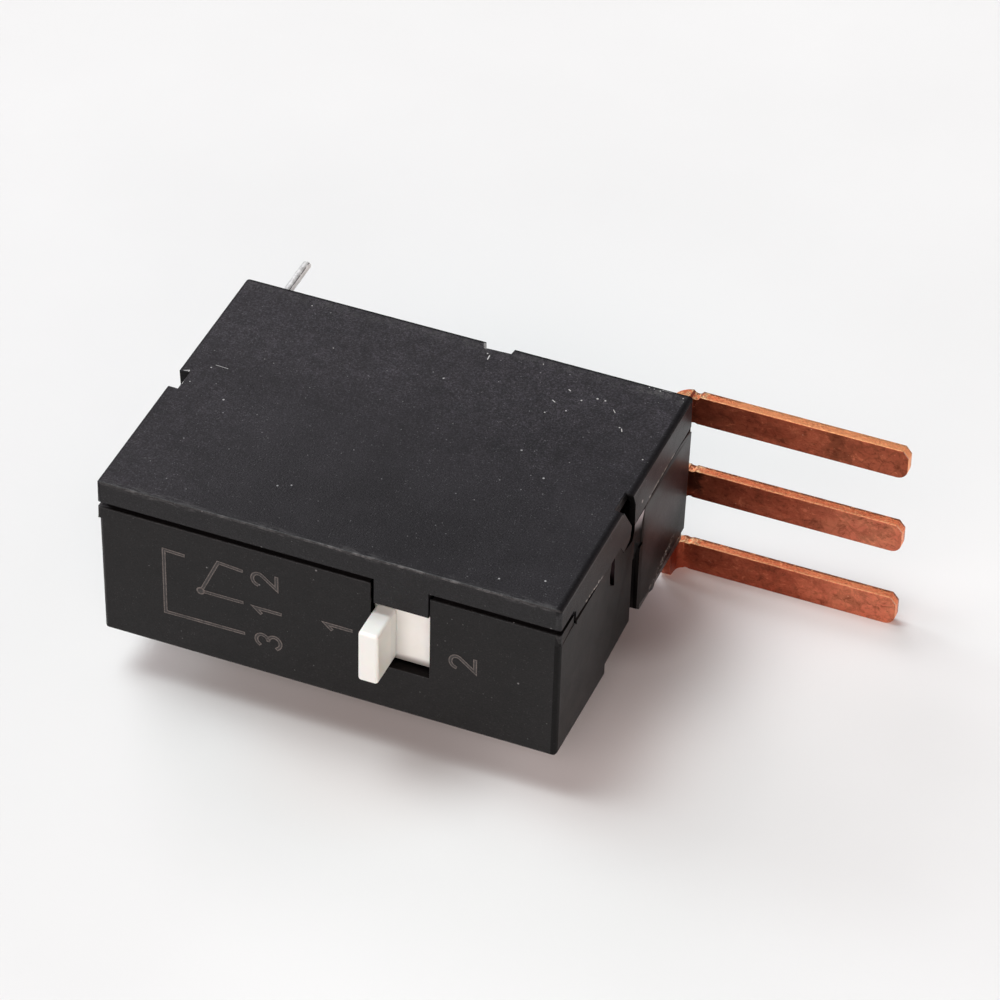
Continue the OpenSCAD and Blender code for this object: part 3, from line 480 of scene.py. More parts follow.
def copper(name="copper_strip", edge=False):
    """Bare copper strip: brown tarnish in blotches on the rolled faces, bright cut edges."""
    k = Mat(name)
    big = k.noise(0.20, 6, 0.62, vec=k.stretch((0.7, 1, 1)), distort=0.6)
    mid = k.noise(0.9, 6, 0.68, vec=k.stretch((0.6, 1, 1.1)), distort=0.8, shift=5)
    fine = k.noise(5.0, 5, 0.7, vec=k.stretch((0.35, 1, 1)), shift=13)
    f = k.math("ADD", k.math("MULTIPLY", big, 0.5), k.math("MULTIPLY", mid, 0.35))
    f = k.math("ADD", f, k.math("MULTIPLY", fine, 0.15))
    if edge:
        col = k.ramp(f, [(0.34, (0.68, 0.165, 0.068)), (0.50, (0.95, 0.26, 0.112)), (0.66, (1.0, 0.36, 0.165))])
        rib = k.noise(2.6, 4, 0.7, vec=k.stretch((3.0, 0.25, 0.6)), shift=17)
        col = k.mix(k.math("MULTIPLY", k.step(rib, 0.55, 0.70), 0.5), col, (1.0, 0.44, 0.20))
        # painted highlight on the torn lip along the front of the cut, dark burr along the back
        lip = k.math("MULTIPLY", k.step(k.xyz(1), W + 1.74, W + 1.56), k.step(k.noise(4.5, 4, 0.75, shift=71), 0.38, 0.54))
        col = k.mix(k.math("MULTIPLY", lip, 0.85), col, (1.0, 0.53, 0.27))
        burr = k.math("MULTIPLY", k.step(k.xyz(1), W + 2.10, W + 2.24), k.step(k.noise(1.2, 3, 0.6, shift=73), 0.3, 0.5))
        col = k.mix(k.math("MULTIPLY", burr, 0.85), col, (0.08, 0.022, 0.011))
        # dark flecks, and bright flecks that are painted glints
        fleck = k.noise(6.5, 4, 0.75, vec=k.stretch((0.6, 1, 1)), shift=79)
        col = k.mix(k.math("MULTIPLY", k.step(fleck, 0.46, 0.36), 0.62), col, (0.34, 0.080, 0.034))
        col = k.mix(k.math("MULTIPLY", k.step(fleck, 0.55, 0.62), 0.9), col, (1.0, 0.50, 0.24))
        # golden cast on the top bar, painted glints in the relief grooves
        gold = k.math("MULTIPLY", k.step(k.xyz(2), 10.5, 11.5), k.step(k.xyz(0), 40.0, 42.0))
        col = k.mix(k.math("MULTIPLY", gold, 0.5), col, (1.0, 0.46, 0.20))
        groove_glints = k.math("MULTIPLY", k.box((37.6, 39.4), (W + 1.3, W + 2.3), None, 0.1), k.step(k.noise(3.2, 4, 0.7, shift=83), 0.46, 0.56))
        col = k.mix(k.math("MULTIPLY", groove_glints, 0.9), col, (1.0, 0.66, 0.36))
        deep = k.math("MULTIPLY", k.box((37.4, 39.6), (W + 1.3, W + 2.5), None, 0.1), k.step(k.noise(2.6, 4, 0.7, shift=89), 0.46, 0.36))
        col = k.mix(k.math("MULTIPLY", deep, 0.7), col, (0.30, 0.060, 0.026))
        n = k.bump(k.math("ADD", rib, k.math("MULTIPLY", k.noise(5.5, 3, 0.7, shift=75), 0.9)), 0.10, 1.0)
        r = k.math("MULTIPLY_ADD", fine, 0.2, 0.26)
        return k.set(color=col, metal=1.0, normal=n, rough=r)
    x, z = k.xyz(0), k.xyz(2)
    col = k.ramp(f, [(0.35, (0.20, 0.042, 0.022)), (0.45, (0.36, 0.080, 0.042)),
                     (0.55, (0.50, 0.125, 0.066)), (0.66, (0.66, 0.20, 0.105))])
    # painted reflection: brighter towards the free ends, most of all on the two lower bars
    low = k.step(z, 11.5, 8.5)
    end = k.math("MULTIPLY", k.step(x, 46.5, 54.0), k.math("MULTIPLY_ADD", low, 0.52, 0.04))
    col = k.mix(end, col, k.mix(k.step(k.noise(0.5, 5, 0.65, shift=33), 0.4, 0.6), (0.80, 0.25, 0.15), (0.95, 0.36, 0.20)))
    # brown tarnish: a wide smudge across the top bar, cloudy ones elsewhere
    smudge = k.noise(0.55, 5, 0.7, distort=1.2, shift=31)
    sm = k.math("MULTIPLY", k.step(smudge, 0.50, 0.62), 0.34)
    band = k.math("MULTIPLY", k.math("MULTIPLY", k.step(z, 10.0, 10.8), k.band(0, 49.4, 51.6, 0.8)), k.step(smudge, 0.34, 0.52))
    sm = k.math("MAXIMUM", sm, k.math("MULTIPLY", band, 0.72))
    col = k.mix(sm, col, (0.115, 0.045, 0.022))
    vein = k.cells(0.75, vec=k.stretch((1, 1, 1.3)), feature="DISTANCE_TO_EDGE")
    wob = k.math("ADD", vein, k.math("MULTIPLY", k.noise(1.6, 5, 0.75, distort=0.8, shift=31), 0.55))
    vm = k.math("MULTIPLY", k.step(wob, 0.35, 0.29), k.math("MULTIPLY_ADD", k.math("MULTIPLY", k.step(z, 10.0, 10.8), k.step(x, 48.5, 51.0)), 0.45, 0.24))
    col = k.mix(vm, col, (0.20, 0.060, 0.030))
    # the top bar's face is browner, the parts below z 7 mm a touch darker
    col = k.mix(k.math("MULTIPLY", k.math("MULTIPLY", k.step(z, 9.0, 10.0), k.step(x, 44.0, 52.0)), 0.52), col, (0.30, 0.078, 0.040))
    col = k.mix(k.math("MULTIPLY", k.step(z, 8.0, 7.0), 0.10), col, (0.20, 0.05, 0.03))
    # painted shade close to the housing, near-black in the nick of the middle bar; the lower web brighter
    root_shade = k.math("MULTIPLY", k.step(x, 46.0, 39.5), 0.45)
    col = k.mix(root_shade, col, (0.17, 0.040, 0.022))
    nick_shade = k.math("MULTIPLY", k.step(k.math("ADD", x, k.math("MULTIPLY", k.noise(0.9, 4, 0.7, shift=35), 2.6)), 41.1, 40.6), k.box(None, None, (4.2, 8.2), 0.5))
    col = k.mix(k.math("MULTIPLY", nick_shade, 0.8), col, (0.045, 0.018, 0.012))
    web = k.math("MULTIPLY", k.step(z, 2.0, 1.0), k.step(x, 39.0, 38.3))
    col = k.mix(k.math("MULTIPLY", web, 0.38), col, (0.62, 0.145, 0.075))
    # small glints where the tarnish is worn through
    gl = k.math("MULTIPLY", k.step(k.cells(2.2, vec=k.stretch((0.6, 1, 1))), 0.12, 0.04), k.step(k.noise(0.8, 3, shift=77), 0.53, 0.62))
    col = k.mix(k.math("MULTIPLY", gl, 0.6), col, (0.98, 0.60, 0.36))
    # fine mottling
    mot = k.noise(1.5, 7, 0.82, vec=k.stretch((0.7, 1, 1)), distort=0.6, shift=87)
    col = k.mix(k.math("MULTIPLY", k.step(mot, 0.49, 0.37), 0.62), col, (0.12, 0.030, 0.016))
    col = k.mix(k.math("MULTIPLY", k.step(mot, 0.54, 0.68), 0.42), col, (0.95, 0.29, 0.15))
    # painted highlight: the bars' end faces pale
    tip_highlight = k.math("MULTIPLY", k.step(x, 53.0, 54.2), k.step(k.facing(0), 0.5, 0.9))
    col = k.mix(k.math("MULTIPLY", tip_highlight, 0.75), col, (1.0, 0.80, 0.70))
    grain = k.noise(14, 3, 0.6, vec=k.stretch((0.12, 1, 1)), shift=3)
    n = k.bump(k.math("ADD", k.math("MULTIPLY", grain, 0.6), k.math("MULTIPLY", mid, 0.8)), 0.03, 0.7)
    r = k.math("MULTIPLY_ADD", mid, 0.25, 0.30)
    return k.set(color=col, metal=1.0, normal=n, rough=r)


copper_mat = copper()
copper_edge_mat = copper("copper_cut_edge", True)


def metal(name, lo, hi, rough=(0.22, 0.4), streak=(1, 1, 1), scale=3.0, bump_mm=0.01, metallic=1.0):
    k = Mat(name)
    v = k.stretch(streak)
    a = k.noise(scale, 5, 0.65, vec=v)
    b = k.noise(scale * 0.2, 3, 0.6, shift=3)
    f = k.math("ADD", k.math("MULTIPLY", a, 0.6), k.math("MULTIPLY", b, 0.4))
    col = k.ramp(f, [(0.36, lo), (0.66, hi)])
    n = k.bump(a, bump_mm, 0.7)
    r = k.math("MULTIPLY_ADD", f, rough[1] - rough[0], rough[0])
    return k.set(color=col, metal=metallic, normal=n, rough=r)


tin_mat = metal("tinned_pin", (0.34, 0.335, 0.33), (0.86, 0.85, 0.83), (0.25, 0.5), (1, 0.5, 1), 3.4, 0.06, 0.45)
def pin_tin():
    """Tinned pin with painted light and shade round its axis: mottled grey on the left, smooth and pale on the right, a
    dark broken line between.
    """
    k = Mat("tinned_wire")
    x, z = k.xyz(0), k.xyz(2)
    turn = k.math("ARCTAN2", k.math("SUBTRACT", z, PIN_Z), k.math("SUBTRACT", x, PIN_X))
    a = k.noise(3.4, 5, 0.7, vec=k.stretch((1, 0.5, 1)))
    left = k.ramp(a, [(0.36, (0.42, 0.415, 0.41)), (0.50, (0.66, 0.655, 0.65)), (0.64, (0.86, 0.855, 0.84))])
    # painted shade: a darker band high on the left of the pin
    left = k.mix(k.math("MULTIPLY", k.step(turn, 2.05, 2.45), 0.55), left, (0.24, 0.235, 0.245))
    col = k.mix(k.step(turn, 0.95, 0.80), left, k.ramp(a, [(0.4, (0.80, 0.79, 0.78)), (0.6, (0.97, 0.97, 0.96))]))
    # painted shade: the dark broken line between the shaded and lit sides
    line = k.math("MULTIPLY", k.step(k.math("ABSOLUTE", k.math("SUBTRACT", turn, 0.90)), 0.16, 0.06), k.step(k.noise(1.5, 4, 0.7, shift=5), 0.34, 0.46))
    col = k.mix(k.math("MULTIPLY", line, 0.9), col, (0.03, 0.028, 0.028))
    n = k.bump(a, 0.05, 0.7)
    return k.set(color=col, metal=k.math("MULTIPLY_ADD", k.step(turn, 0.80, 0.95), 0.22, 0.04), normal=n,
                 rough=k.math("MULTIPLY_ADD", a, 0.3, 0.25))


top_pin_mat = pin_tin()
silver_mat = metal("silver_alloy", (0.66, 0.65, 0.62), (0.86, 0.85, 0.82), (0.25, 0.42), (1, 1, 1), 4.0, 0.008)
nickel_mat = metal("nickel_iron", (0.42, 0.43, 0.44), (0.62, 0.63, 0.64), (0.24, 0.4), (1, 0.3, 1), 3.0, 0.01)
magnet_mat = metal("sintered_magnet", (0.07, 0.072, 0.076), (0.14, 0.145, 0.15), (0.5, 0.7), (1, 1, 1), 5.0, 0.02, 0.7)
spring_mat = metal("spring_alloy", (0.55, 0.27, 0.12), (0.76, 0.45, 0.24), (0.2, 0.34), (1, 0.15, 1), 6.0, 0.006)
brass_mat = metal("rivet_brass", (0.56, 0.42, 0.20), (0.74, 0.60, 0.34), (0.22, 0.38), (1, 1, 1), 4.0, 0.008)


def plain_plastic(name, lo, hi, rough=(0.45, 0.6)):
    k = Mat(name)
    f = k.math("ADD", k.math("MULTIPLY", k.noise(0.4, 4, 0.6), 0.7), k.math("MULTIPLY", k.noise(6, 3, 0.6, shift=3), 0.3))
    col = k.ramp(f, [(0.35, lo), (0.68, hi)])
    n = k.bump(k.noise(8, 3, 0.6, shift=7), 0.015, 0.6)
    r = k.math("MULTIPLY_ADD", k.noise(1, 3, 0.6, shift=9), rough[1] - rough[0], rough[0])
    return k.set(color=col, normal=n, rough=r)


bobbin_mat = plain_plastic("bobbin_plastic", (0.58, 0.54, 0.42), (0.70, 0.66, 0.55))
carrier_mat = plain_plastic("carrier_plastic", (0.020, 0.020, 0.023), (0.035, 0.035, 0.040))


def winding(name, lo, hi):
    """Enamelled wire laid side by side round the bobbin."""
    k = Mat(name)
    w = k.t.nodes.new("ShaderNodeTexWave")
    w.bands_direction = "Y"
    w.inputs["Scale"].default_value = 1.6
    w.inputs["Distortion"].default_value = 0.6
    w.inputs["Detail"].default_value = 1
    k.link(k.mm, w.inputs["Vector"])
    col = k.mix(w.outputs["Fac"], lo, hi)
    col = k.mix(k.math("MULTIPLY", k.noise(1.5, 4, 0.6), 0.4), col, tuple(c * 0.6 for c in lo))
    n = k.bump(w.outputs["Fac"], 0.05, 0.9)
    return k.set(color=col, metal=0.75, normal=n, rough=k.math("MULTIPLY_ADD", k.noise(2, 3), 0.15, 0.25))


set_wire_mat = winding("set_wire", (0.42, 0.13, 0.045), (0.66, 0.25, 0.10))
reset_wire_mat = winding("reset_wire", (0.30, 0.07, 0.03), (0.50, 0.14, 0.06))


def resin():
    """Epoxy that ran and set: black, lumpy, with glossy patches and pale specks that are painted glints."""
    k = Mat("black_resin")
    a = k.noise(1.6, 5, 0.65)
    b = k.noise(7, 4, 0.7, shift=4)
    col = k.ramp(a, [(0.4, (0.006, 0.0058, 0.006)), (0.7, (0.020, 0.018, 0.018))])
    # painted glints: pale specks
    chip = k.math("MULTIPLY", k.step(b, 0.63, 0.72), k.step(k.noise(1.1, 3, shift=8), 0.46, 0.6))
    col = k.mix(k.math("MULTIPLY", chip, 0.8), col, (0.34, 0.31, 0.29))
    n = k.bump(k.math("ADD", a, k.math("MULTIPLY", b, 0.4)), 0.10, 0.9)
    r = k.math("MULTIPLY_ADD", k.noise(2.2, 4, shift=15), 0.5, 0.08)
    return k.set(color=col, normal=n, rough=r)


resin_mat = resin()


def laser_mark(name, c):
    k = Mat(name)
    f = k.math("ADD", k.math("MULTIPLY", k.noise(0.8, 4, 0.6, shift=3), 0.4), k.math("MULTIPLY", k.noise(6.0, 3, 0.7), 0.6))
    col = k.ramp(f, [(0.38, tuple(x * 0.35 for x in c)), (0.50, tuple(x * 0.85 for x in c)), (0.64, tuple(x * 1.35 for x in c))])
    n = k.bump(k.noise(12, 3, 0.6), 0.02, 0.6)
    return k.set(color=col, normal=n, rough=k.math("MULTIPLY_ADD", f, 0.2, 0.5))


mark_mat = laser_mark("laser_mark", (0.098, 0.083, 0.077))
mark_fill_mat = laser_mark("laser_mark_fill", (0.020, 0.0175, 0.017))


# ------------------------------------------------------------------ solids

def open_mesh(node):
    """A welded copy of a CAD node's mesh, in housing millimetres, with flat areas merged."""
    bm = bmesh.new()
    bm.from_mesh(NODES[node].data)
    bmesh.ops.scale(bm, vec=(1000, 1000, 1000), verts=bm.verts)
    bmesh.ops.translate(bm, vec=(OX, OY, 0), verts=bm.verts)
    bmesh.ops.remove_doubles(bm, verts=bm.verts, dist=0.0015)
    bmesh.ops.dissolve_limit(bm, angle_limit=math.radians(0.4), use_dissolve_boundaries=False,
                             verts=bm.verts, edges=bm.edges)
    bm.normal_update()
    return bm


def bevelled(node, name, body, widths, mats, segments=3, mat_of=None, sharp=34, tri=False):
    """A piece made from a CAD node with rounded edges.

    widths(mid, a, b, angle) gives each edge's bevel width in mm, or 0.
    mat_of(centre, normal, is_bevel) gives a face's material index."""
    bm = open_mesh(node)
    if tri:
        bmesh.ops.triangulate(bm, faces=[f for f in bm.faces if len(f.verts) > 4])
    wl = bm.edges.layers.float.new("bevel_weight_edge")
    top = 0.0
    chosen = {}
    for e in bm.edges:
        if len(e.link_faces) != 2:
            continue
        ang = math.degrees(e.calc_face_angle(0.0))
        if ang < 20:
            continue
        a, b = e.verts[0].co, e.verts[1].co
        w = widths((a + b) / 2, a, b, ang)
        if w:
            chosen[e] = w
            top = max(top, w)
    for e, w in chosen.items():
        e[wl] = w / top
    me = bpy.data.meshes.new(name + "_raw")
    bm.to_mesh(me)
    bm.free()
    tmp = bpy.data.objects.new(name + "_raw", me)
    SCENE.collection.objects.link(tmp)
    mod = tmp.modifiers.new("bevel", "BEVEL")
    mod.limit_method = "WEIGHT"
    mod.width = top
    mod.segments = segments
    mod.use_clamp_overlap = False
    mod.miter_outer = "MITER_SHARP"
    mod.material = len(mats) - 1 if len(mats) > 1 else 0
    for m in mats:
        me.materials.append(m)
    dg = bpy.context.evaluated_depsgraph_get()
    out = bpy.data.meshes.new_from_object(tmp.evaluated_get(dg))
    bpy.data.objects.remove(tmp)
    out.name = name
    for p in out.polygons:
        p.use_smooth = True
        if mat_of:
            p.material_index = mat_of(p.center.copy(), p.normal.copy(), p.material_index)
    out.set_sharp_from_angle(angle=math.radians(sharp))
    out.transform(Matrix.Translation((-OX, -OY, 0)))
    out.transform(Matrix.Scale(0.001, 4))
    ob = bpy.data.objects.new(name, out)
    SCENE.collection.objects.link(ob)
    wn = ob.modifiers.new("normals", "WEIGHTED_NORMAL")
    wn.keep_sharp = True
    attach(ob, body)
    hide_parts(node)
    return ob


def near(a, b, t=0.02):
    return abs(a - b) < t


# ------------------------------------------------------------------- cover

def cover_w(m, a, b, ang):
    both = lambda i, v, t=0.02: near(a[i], v, t) and near(b[i], v, t)
    long = (a - b).length
    if both(2, T):
        if both(1, 0):
            return 0.15
        if both(1, W):
            return 0.2
        if both(0, 0):
            return 0.2
        if both(0, L):
            return 0.52
        return 0.05
    if (both(0, 0) or both(0, L)) and (both(1, 0) or both(1, W)) and long > 1:
        return 0.28 if both(0, L) and both(1, W) else (0.45 if both(0, L) else 0.3)
    if both(2, 12.95) and both(1, 0):
        return 0.08
    if both(1, 0) and m.z < 12.96:
        return 0.06
    return 0


cover = bevelled("cover", "cover_shell", "housing", cover_w,
                 [cover_mat, cover_edge_mat, cover_front_edge_mat],
                 mat_of=lambda c, n, was: (2 if (c.z > T - 0.3 and c.y < 0.3) else 1) if was == 2 else 0)


# -------------------------------------------------------------------- base

def base_w(m, a, b, ang):
    both = lambda i, v, t=0.02: near(a[i], v, t) and near(b[i], v, t)
    outer_x = (m.x < 0.3 or m.x > L - 0.3)
    outer_y = (m.y < 0.15 or m.y > W - 0.15)
    long = (a - b).length
    if both(2, 0) and (outer_x or outer_y) and long > 1.5:
        return 0.26
    if outer_x and outer_y and abs(a.z - b.z) > 3:
        return 0.45 if m.x > L - 0.3 and m.y < 1 else 0.3
    if outer_x and outer_y and m.z > 11.3 and m.z < 12.5 and abs(a.z - b.z) > 0.5:
        return 0.45 if m.x > L - 0.3 and m.y < 1 else 0.3
    if both(2, 12.45) and both(1, 0):
        return 0.07
    if both(1, 0, 0.12) and 4.3 < m.z < 12.4 and 22.9 < m.x < 28.3:
        return 0.05
    return 0


base = bevelled("base", "base_shell", "housing", base_w, [base_mat, base_edge_mat])


# --------------------------------------------------------------- terminals

def strip_w(m, a, b, ang):
    return 0.07 if (m.y > W - 0.2 and ang > 40 and (a - b).length > 0.12) else 0


def strip_mat(c, n, was):
    # the cut edges of the strip face up, down and to its free end
    if abs(n.z) > 0.75 or (c.x > 55 and n.x > 0.7):
        return 1
    return 0


terminals = []
for nm in ("terminal_top", "terminal_common", "terminal_bottom"):
    terminals.append(bevelled(nm, nm + "_strip", "housing", strip_w, [copper_mat, copper_edge_mat],
                              segments=2, mat_of=strip_mat))


# ------------------------------------------------------------------- lever

def lever_w(m, a, b, ang):
    if ang < 60:
        return 0
    return 0.3 if m.y < 1.0 else 0


lever = bevelled("lever_slide", "lever_slide_body", "slider", lever_w, [lever_mat], segments=5,
                 tri=True)


# ------------------------------------------------------------------- marks

MARK_W = 0.31      # width of a drawn stroke
MARK_T = 0.085     # width of its outline


def outline(path, half):
    """The closed outline of a stroke along an open path, with square ends."""
    left, right = [], []
    n = len(path)
    for i, p in enumerate(path):
        p = Vector(p)
        before = (p - Vector(path[i - 1])).normalized() if i else None
        after = (Vector(path[i + 1]) - p).normalized() if i < n - 1 else None
        d = (before + after).normalized() if before and after else (before or after)
        side = Vector((-d.y, d.x))
        reach = half
        if before and after:
            reach = half / max(0.35, side.dot(Vector((-before.y, before.x))))
        end = Vector((0, 0))
        if before is None:
            end = -after * half
        elif after is None:
            end = before * half
        left.append(p + side * reach + end)
        right.append(p - side * reach + end)
    return left + right[::-1]


def add_ring(bm, outer, inner):
    """A thin raised band on the lever face between two outlines given in X and Z."""
    def front(z):
        return max(0.0, (11.4 - z) * math.tan(math.radians(0.5)))
    rows = []
    for lift in (-0.012, 0.02):
        rows.append([[bm.verts.new((q.x, front(q.y) + lift, q.y)) for q in loop] for loop in (outer, inner)])
    (fo, fi), (bo, bi) = rows
    m = len(outer)
    # the faintly marked ground inside the outline
    ground = bm.faces.new([bm.verts.new((q.x, front(q.y) - 0.006, q.y)) for q in inner])
    ground.material_index = 1
    if ground.normal.y > 0:
        ground.normal_flip()
    for i in range(m):
        j = (i + 1) % m
        bm.faces.new((fo[i], fo[j], fi[j], fi[i]))
        bm.faces.new((bo[j], bo[i], bi[i], bi[j]))
        bm.faces.new((fo[j], fo[i], bo[i], bo[j]))
        bm.faces.new((fi[i], fi[j], bi[j], bi[i]))


def stroke(bm, path, width=MARK_W):
    add_ring(bm, outline(path, width / 2), outline(path, width / 2 - MARK_T))


def arc(cx, cy, rx, ry, a0, a1, n=14):
    return [(cx + rx * math.cos(math.radians(a0 + (a1 - a0) * i / n)),
             cy + ry * math.sin(math.radians(a0 + (a1 - a0) * i / n))) for i in range(n + 1)]


NUMERALS = {
    "1": [[(-0.32, 0.55), (0.05, 0.95), (0.05, -0.95)]],
    "2": [arc(0, 0.48, 0.52, 0.47, 165, -30, 12) + [(-0.50, -0.92), (0.55, -0.92)]],
    "3": [arc(-0.02, 0.48, 0.50, 0.46, 150, -75, 12), arc(-0.02, -0.46, 0.54, 0.48, 75, -150, 12)],
}


def numeral(bm, ch, x, z):
    """Numeral turned a quarter turn: its top points to the left."""
    for path in NUMERALS[ch]:
        stroke(bm, [(x - v * 1.10, z + u * 1.10) for u, v in path], 0.32)


def marks():
    bm = bmesh.new()
    # switch symbol: fixed bracket, moving arm with its pivot
    stroke(bm, [(7.25, 9.90), (5.60, 9.97), (5.62, 3.55), (12.30, 3.62)])
    stroke(bm, [(12.20, 10.02), (10.25, 10.20), (8.90, 7.15)])
    stroke(bm, [(9.05, 6.77), (12.20, 6.78)])
    ring = [Vector(q) for q in arc(8.70, 6.76, 0.36, 0.36, 0, 360, 20)[:-1]]
    hole = [Vector(q) for q in arc(8.70, 6.76, 0.24, 0.24, 0, 360, 20)[:-1]]
    add_ring(bm, ring, hole)
    for ch, x, z in (("2", 14.2, 9.65), ("1", 14.4, 6.6), ("3", 14.45, 3.5), ("1", 20.4, 7.0), ("2", 30.85, 6.95)):
        numeral(bm, ch, x, z)
    bmesh.ops.recalc_face_normals(bm, faces=[f for f in bm.faces if f.material_index == 0])
    me = bpy.data.meshes.new("lever_face_marks")
    bm.to_mesh(me)
    bm.free()
    me.transform(Matrix.Translation((-OX, -OY, 0)))
    me.transform(Matrix.Scale(0.001, 4))
    me.materials.append(mark_mat)
    me.materials.append(mark_fill_mat)
    ob = bpy.data.objects.new("lever_face_marks", me)
    SCENE.collection.objects.link(ob)
    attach(ob, "housing")
    return ob


marks()


# ------------------------------------------------------- epoxy under the edge

def seal_lumps():
    """Epoxy that ran out of the terminal slot and set in lumps under the right rear edge."""
    mb = bpy.data.metaballs.new("seal_balls")
    mb.resolution = 0.14
    mb.render_resolution = 0.14
    mb.threshold = 0.6
    for x, y, z, r, sx, sy, sz in (
            (37.7, 17.3, 1.55, 0.55, 1.0, 1.5, 0.6), (38.0, 18.7, 1.4, 0.75, 0.9, 1.2, 0.7),
            (38.05, 19.9, 1.0, 1.05, 0.8, 1.1, 0.8), (38.1, 21.2, 0.75, 1.35, 0.8, 0.9, 0.85),
            (38.05, 22.4, 1.05, 1.0, 0.85, 1.0, 0.8), (38.0, 23.7, 1.2, 1.0, 0.9, 1.2, 0.8),
            (37.95, 25.2, 1.3, 1.05, 1.0, 1.2, 0.8), (37.85, 26.7, 1.2, 1.05, 1.0, 1.1, 0.9),
            (37.1, 20.2, 1.0, 1.0, 1.1, 1.5, 0.6), (37.1, 23.5, 1.0, 1.1, 1.1, 1.8, 0.6),
            (38.25, 15.9, 1.75, 0.5, 0.7, 1.0, 0.9)):
        el = mb.elements.new(type="ELLIPSOID")
        el.co = (x, y, z)
        el.radius = r
        el.size_x, el.size_y, el.size_z = sx, sy, sz
    tmp = bpy.data.objects.new("seal_balls", mb)
    SCENE.collection.objects.link(tmp)
    bpy.context.view_layer.update()
    dg = bpy.context.evaluated_depsgraph_get()
    me = bpy.data.meshes.new_from_object(tmp.evaluated_get(dg))
    bpy.data.objects.remove(tmp)
    bpy.data.metaballs.remove(mb)
    me.name = "seal_lumps"
    for v in me.vertices:
        c = v.co
        a = noise.noise(c * 1.3) * 0.20 + noise.noise(c * 3.7 + Vector((5, 1, 3))) * 0.14
        v.co = c + v.normal * a
        v.co.x = min(v.co.x, L - 0.05)
        v.co.z = max(v.co.z, -0.25)
    for p in me.polygons:
        p.use_smooth = True
    me.transform(Matrix.Translation((-OX, -OY, 0)))
    me.transform(Matrix.Scale(0.001, 4))
    me.materials.append(resin_mat)
    ob = bpy.data.objects.new("seal_lumps", me)
    SCENE.collection.objects.link(ob)
    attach(ob, "housing")
    return ob


seal_lumps()


# ------------------------------------------------- parts kept as they came

plain = {
    "fixed_contact_top": silver_mat, "fixed_contact_bottom": silver_mat, "moving_contact": silver_mat,
    "contact_leaf": spring_mat, "leaf_rivet_lower": brass_mat, "leaf_rivet_upper": brass_mat,
    "bobbin": bobbin_mat, "set_winding": set_wire_mat, "reset_winding": reset_wire_mat,
    "core": nickel_mat, "front_yoke": nickel_mat, "rear_yoke": nickel_mat,
    "coil_pin_upper": top_pin_mat, "coil_pin_middle": tin_mat, "coil_pin_lower": tin_mat,
    "armature_block": carrier_mat, "magnet": magnet_mat,
    "armature_plate_left": nickel_mat, "armature_plate_right": nickel_mat,
    "pin_seal": resin_mat, "terminal_seal": resin_mat,
}
for nm, mat in plain.items():
    o = NODES[nm]
    o.data.materials.clear()
    o.data.materials.append(mat)


# --------------------------------------------------- floor, light, finish

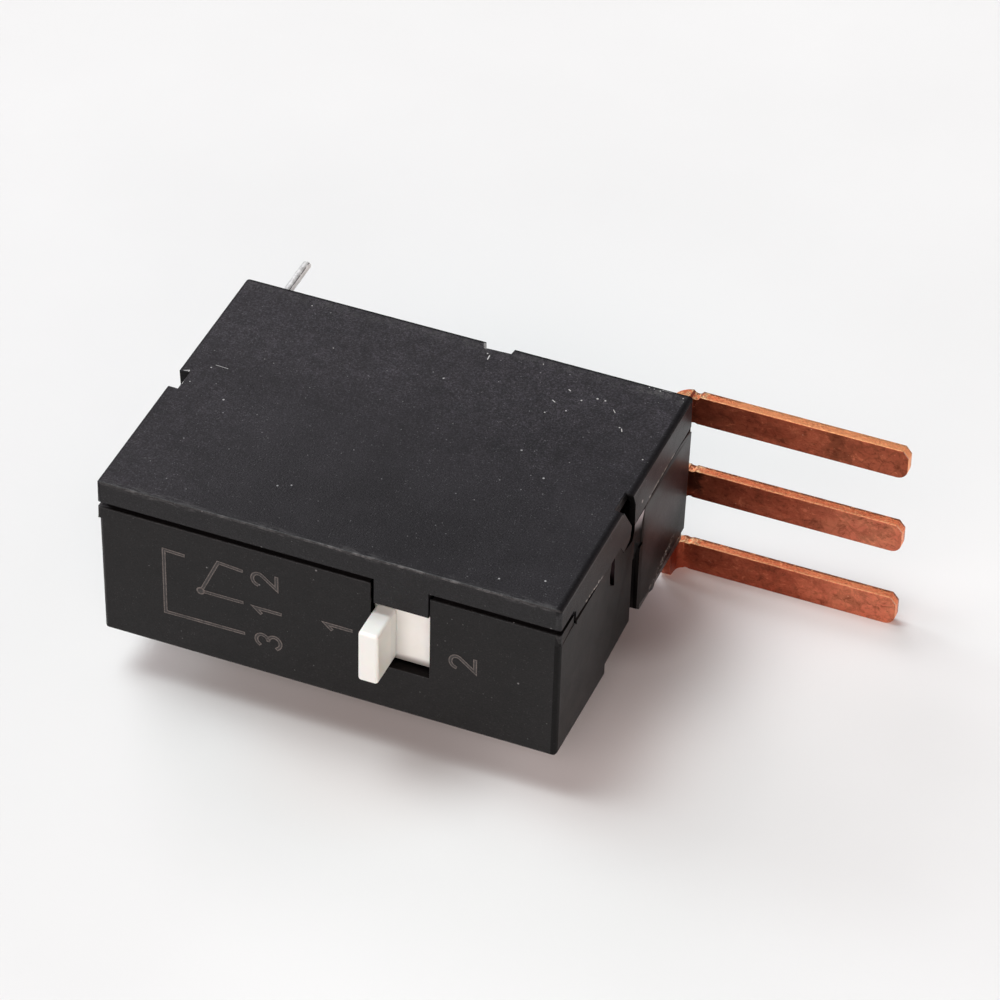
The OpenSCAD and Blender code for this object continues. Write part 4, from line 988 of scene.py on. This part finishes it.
def make_floor():
    me = bpy.data.meshes.new("floor")
    s = 3.0
    z = FLOOR_Z / 1000
    me.from_pydata([(-s, -s, z), (s, -s, z), (s, s, z), (-s, s, z)], [], [(0, 1, 2, 3)])
    ob = bpy.data.objects.new("floor", me)
    SCENE.collection.objects.link(ob)
    k = Mat("floor_paper")
    c = k.ramp(k.noise(0.05, 3, 0.5), [(0.3, (0.80, 0.795, 0.795)), (0.7, (0.82, 0.815, 0.815))])
    # painted light: the floor paler behind the relay
    rear = k.step(k.vmath("DISTANCE", k.mm, (24.0, 36.0, FLOOR_Z)), 46.0, 8.0)
    c = k.mix(rear, c, (0.885, 0.88, 0.88))
    # painted light: the floor paler in front, to the right
    front = k.step(k.vmath("DISTANCE", k.mm, (40.0, -22.0, FLOOR_Z)), 30.0, 8.0)
    c = k.mix(k.math("MULTIPLY", front, 0.6), c, (0.87, 0.87, 0.87))
    # painted light: the floor near-white by the front right corner of the housing
    corner_light = k.step(k.vmath("DISTANCE", k.mm, (39.0, 6.0, FLOOR_Z)), 14.0, 3.0)
    c = k.mix(corner_light, c, (1.0, 0.99, 0.985))
    # painted shadow: a warm dark patch on the floor under the housing's right rear, by the terminals
    bars_shadow = k.step(k.vmath("DISTANCE", k.mm, (36.2, 22.2, FLOOR_Z)), 6.8, 2.2)
    c = k.mix(k.math("MULTIPLY", bars_shadow, 0.50), c, (0.30, 0.215, 0.205))
    # painted shadow: the floor darker and warmer just in front of the lever face
    ahead_shadow = k.step(k.vmath("DISTANCE", k.mm, (23.0, -1.0, FLOOR_Z)), 13.0, 3.0)
    c = k.mix(k.math("MULTIPLY", ahead_shadow, 0.6), c, (0.755, 0.71, 0.695))
    n = k.bump(k.noise(2.0, 4, 0.6), 0.02, 0.3)
    k.set(color=c, normal=n, rough=k.math("MULTIPLY_ADD", k.noise(0.7, 3, 0.5, shift=3), 0.1, 0.8), spec=0.0)
    me.materials.append(k.m)


make_floor()

world = bpy.data.worlds.new("studio")
SCENE.world = world
world.use_nodes = True


def sky():
    """Soft boxes: a strong one high on the left, a broad low one in front, weaker ones behind."""
    t = world.node_tree
    tc = t.nodes.new("ShaderNodeTexCoord")
    k = Tree(t, tc.outputs["Generated"])
    col = (0.045, 0.040, 0.041)
    for az, el, r0, r1, c in (
            (179, 68, 4, 25, (9.15, 9.85, 9.9)), (272, 15.5, 33, 41, (2.46, 2.14, 2.08)),
            (30, 2, 38, 47, (0.68, 0.58, 0.58)), (135, 30, 3, 21, (4.35, 4.05, 4.3)),
            (173, 27, 5, 12, (8.2, 9.2, 9.4)), (318, 8, 8, 28, (1.10, 0.78, 0.46))):
        a, e = math.radians(az), math.radians(el)
        d = (math.cos(e) * math.cos(a), math.cos(e) * math.sin(a), math.sin(e))
        ang = k.math("ARCCOSINE", k.vmath("DOT_PRODUCT", k.mm, d))
        m = k.step(ang, math.radians(r1), math.radians(r0))
        col = k.mix(m, col, k.mix(1.0, col, c, "ADD"))
    k.link(col, t.nodes["Background"].inputs["Color"])


sky()


SCENE.view_settings.view_transform = "Standard"
SCENE.view_settings.look = "None"

bpy.context.view_layer.update()
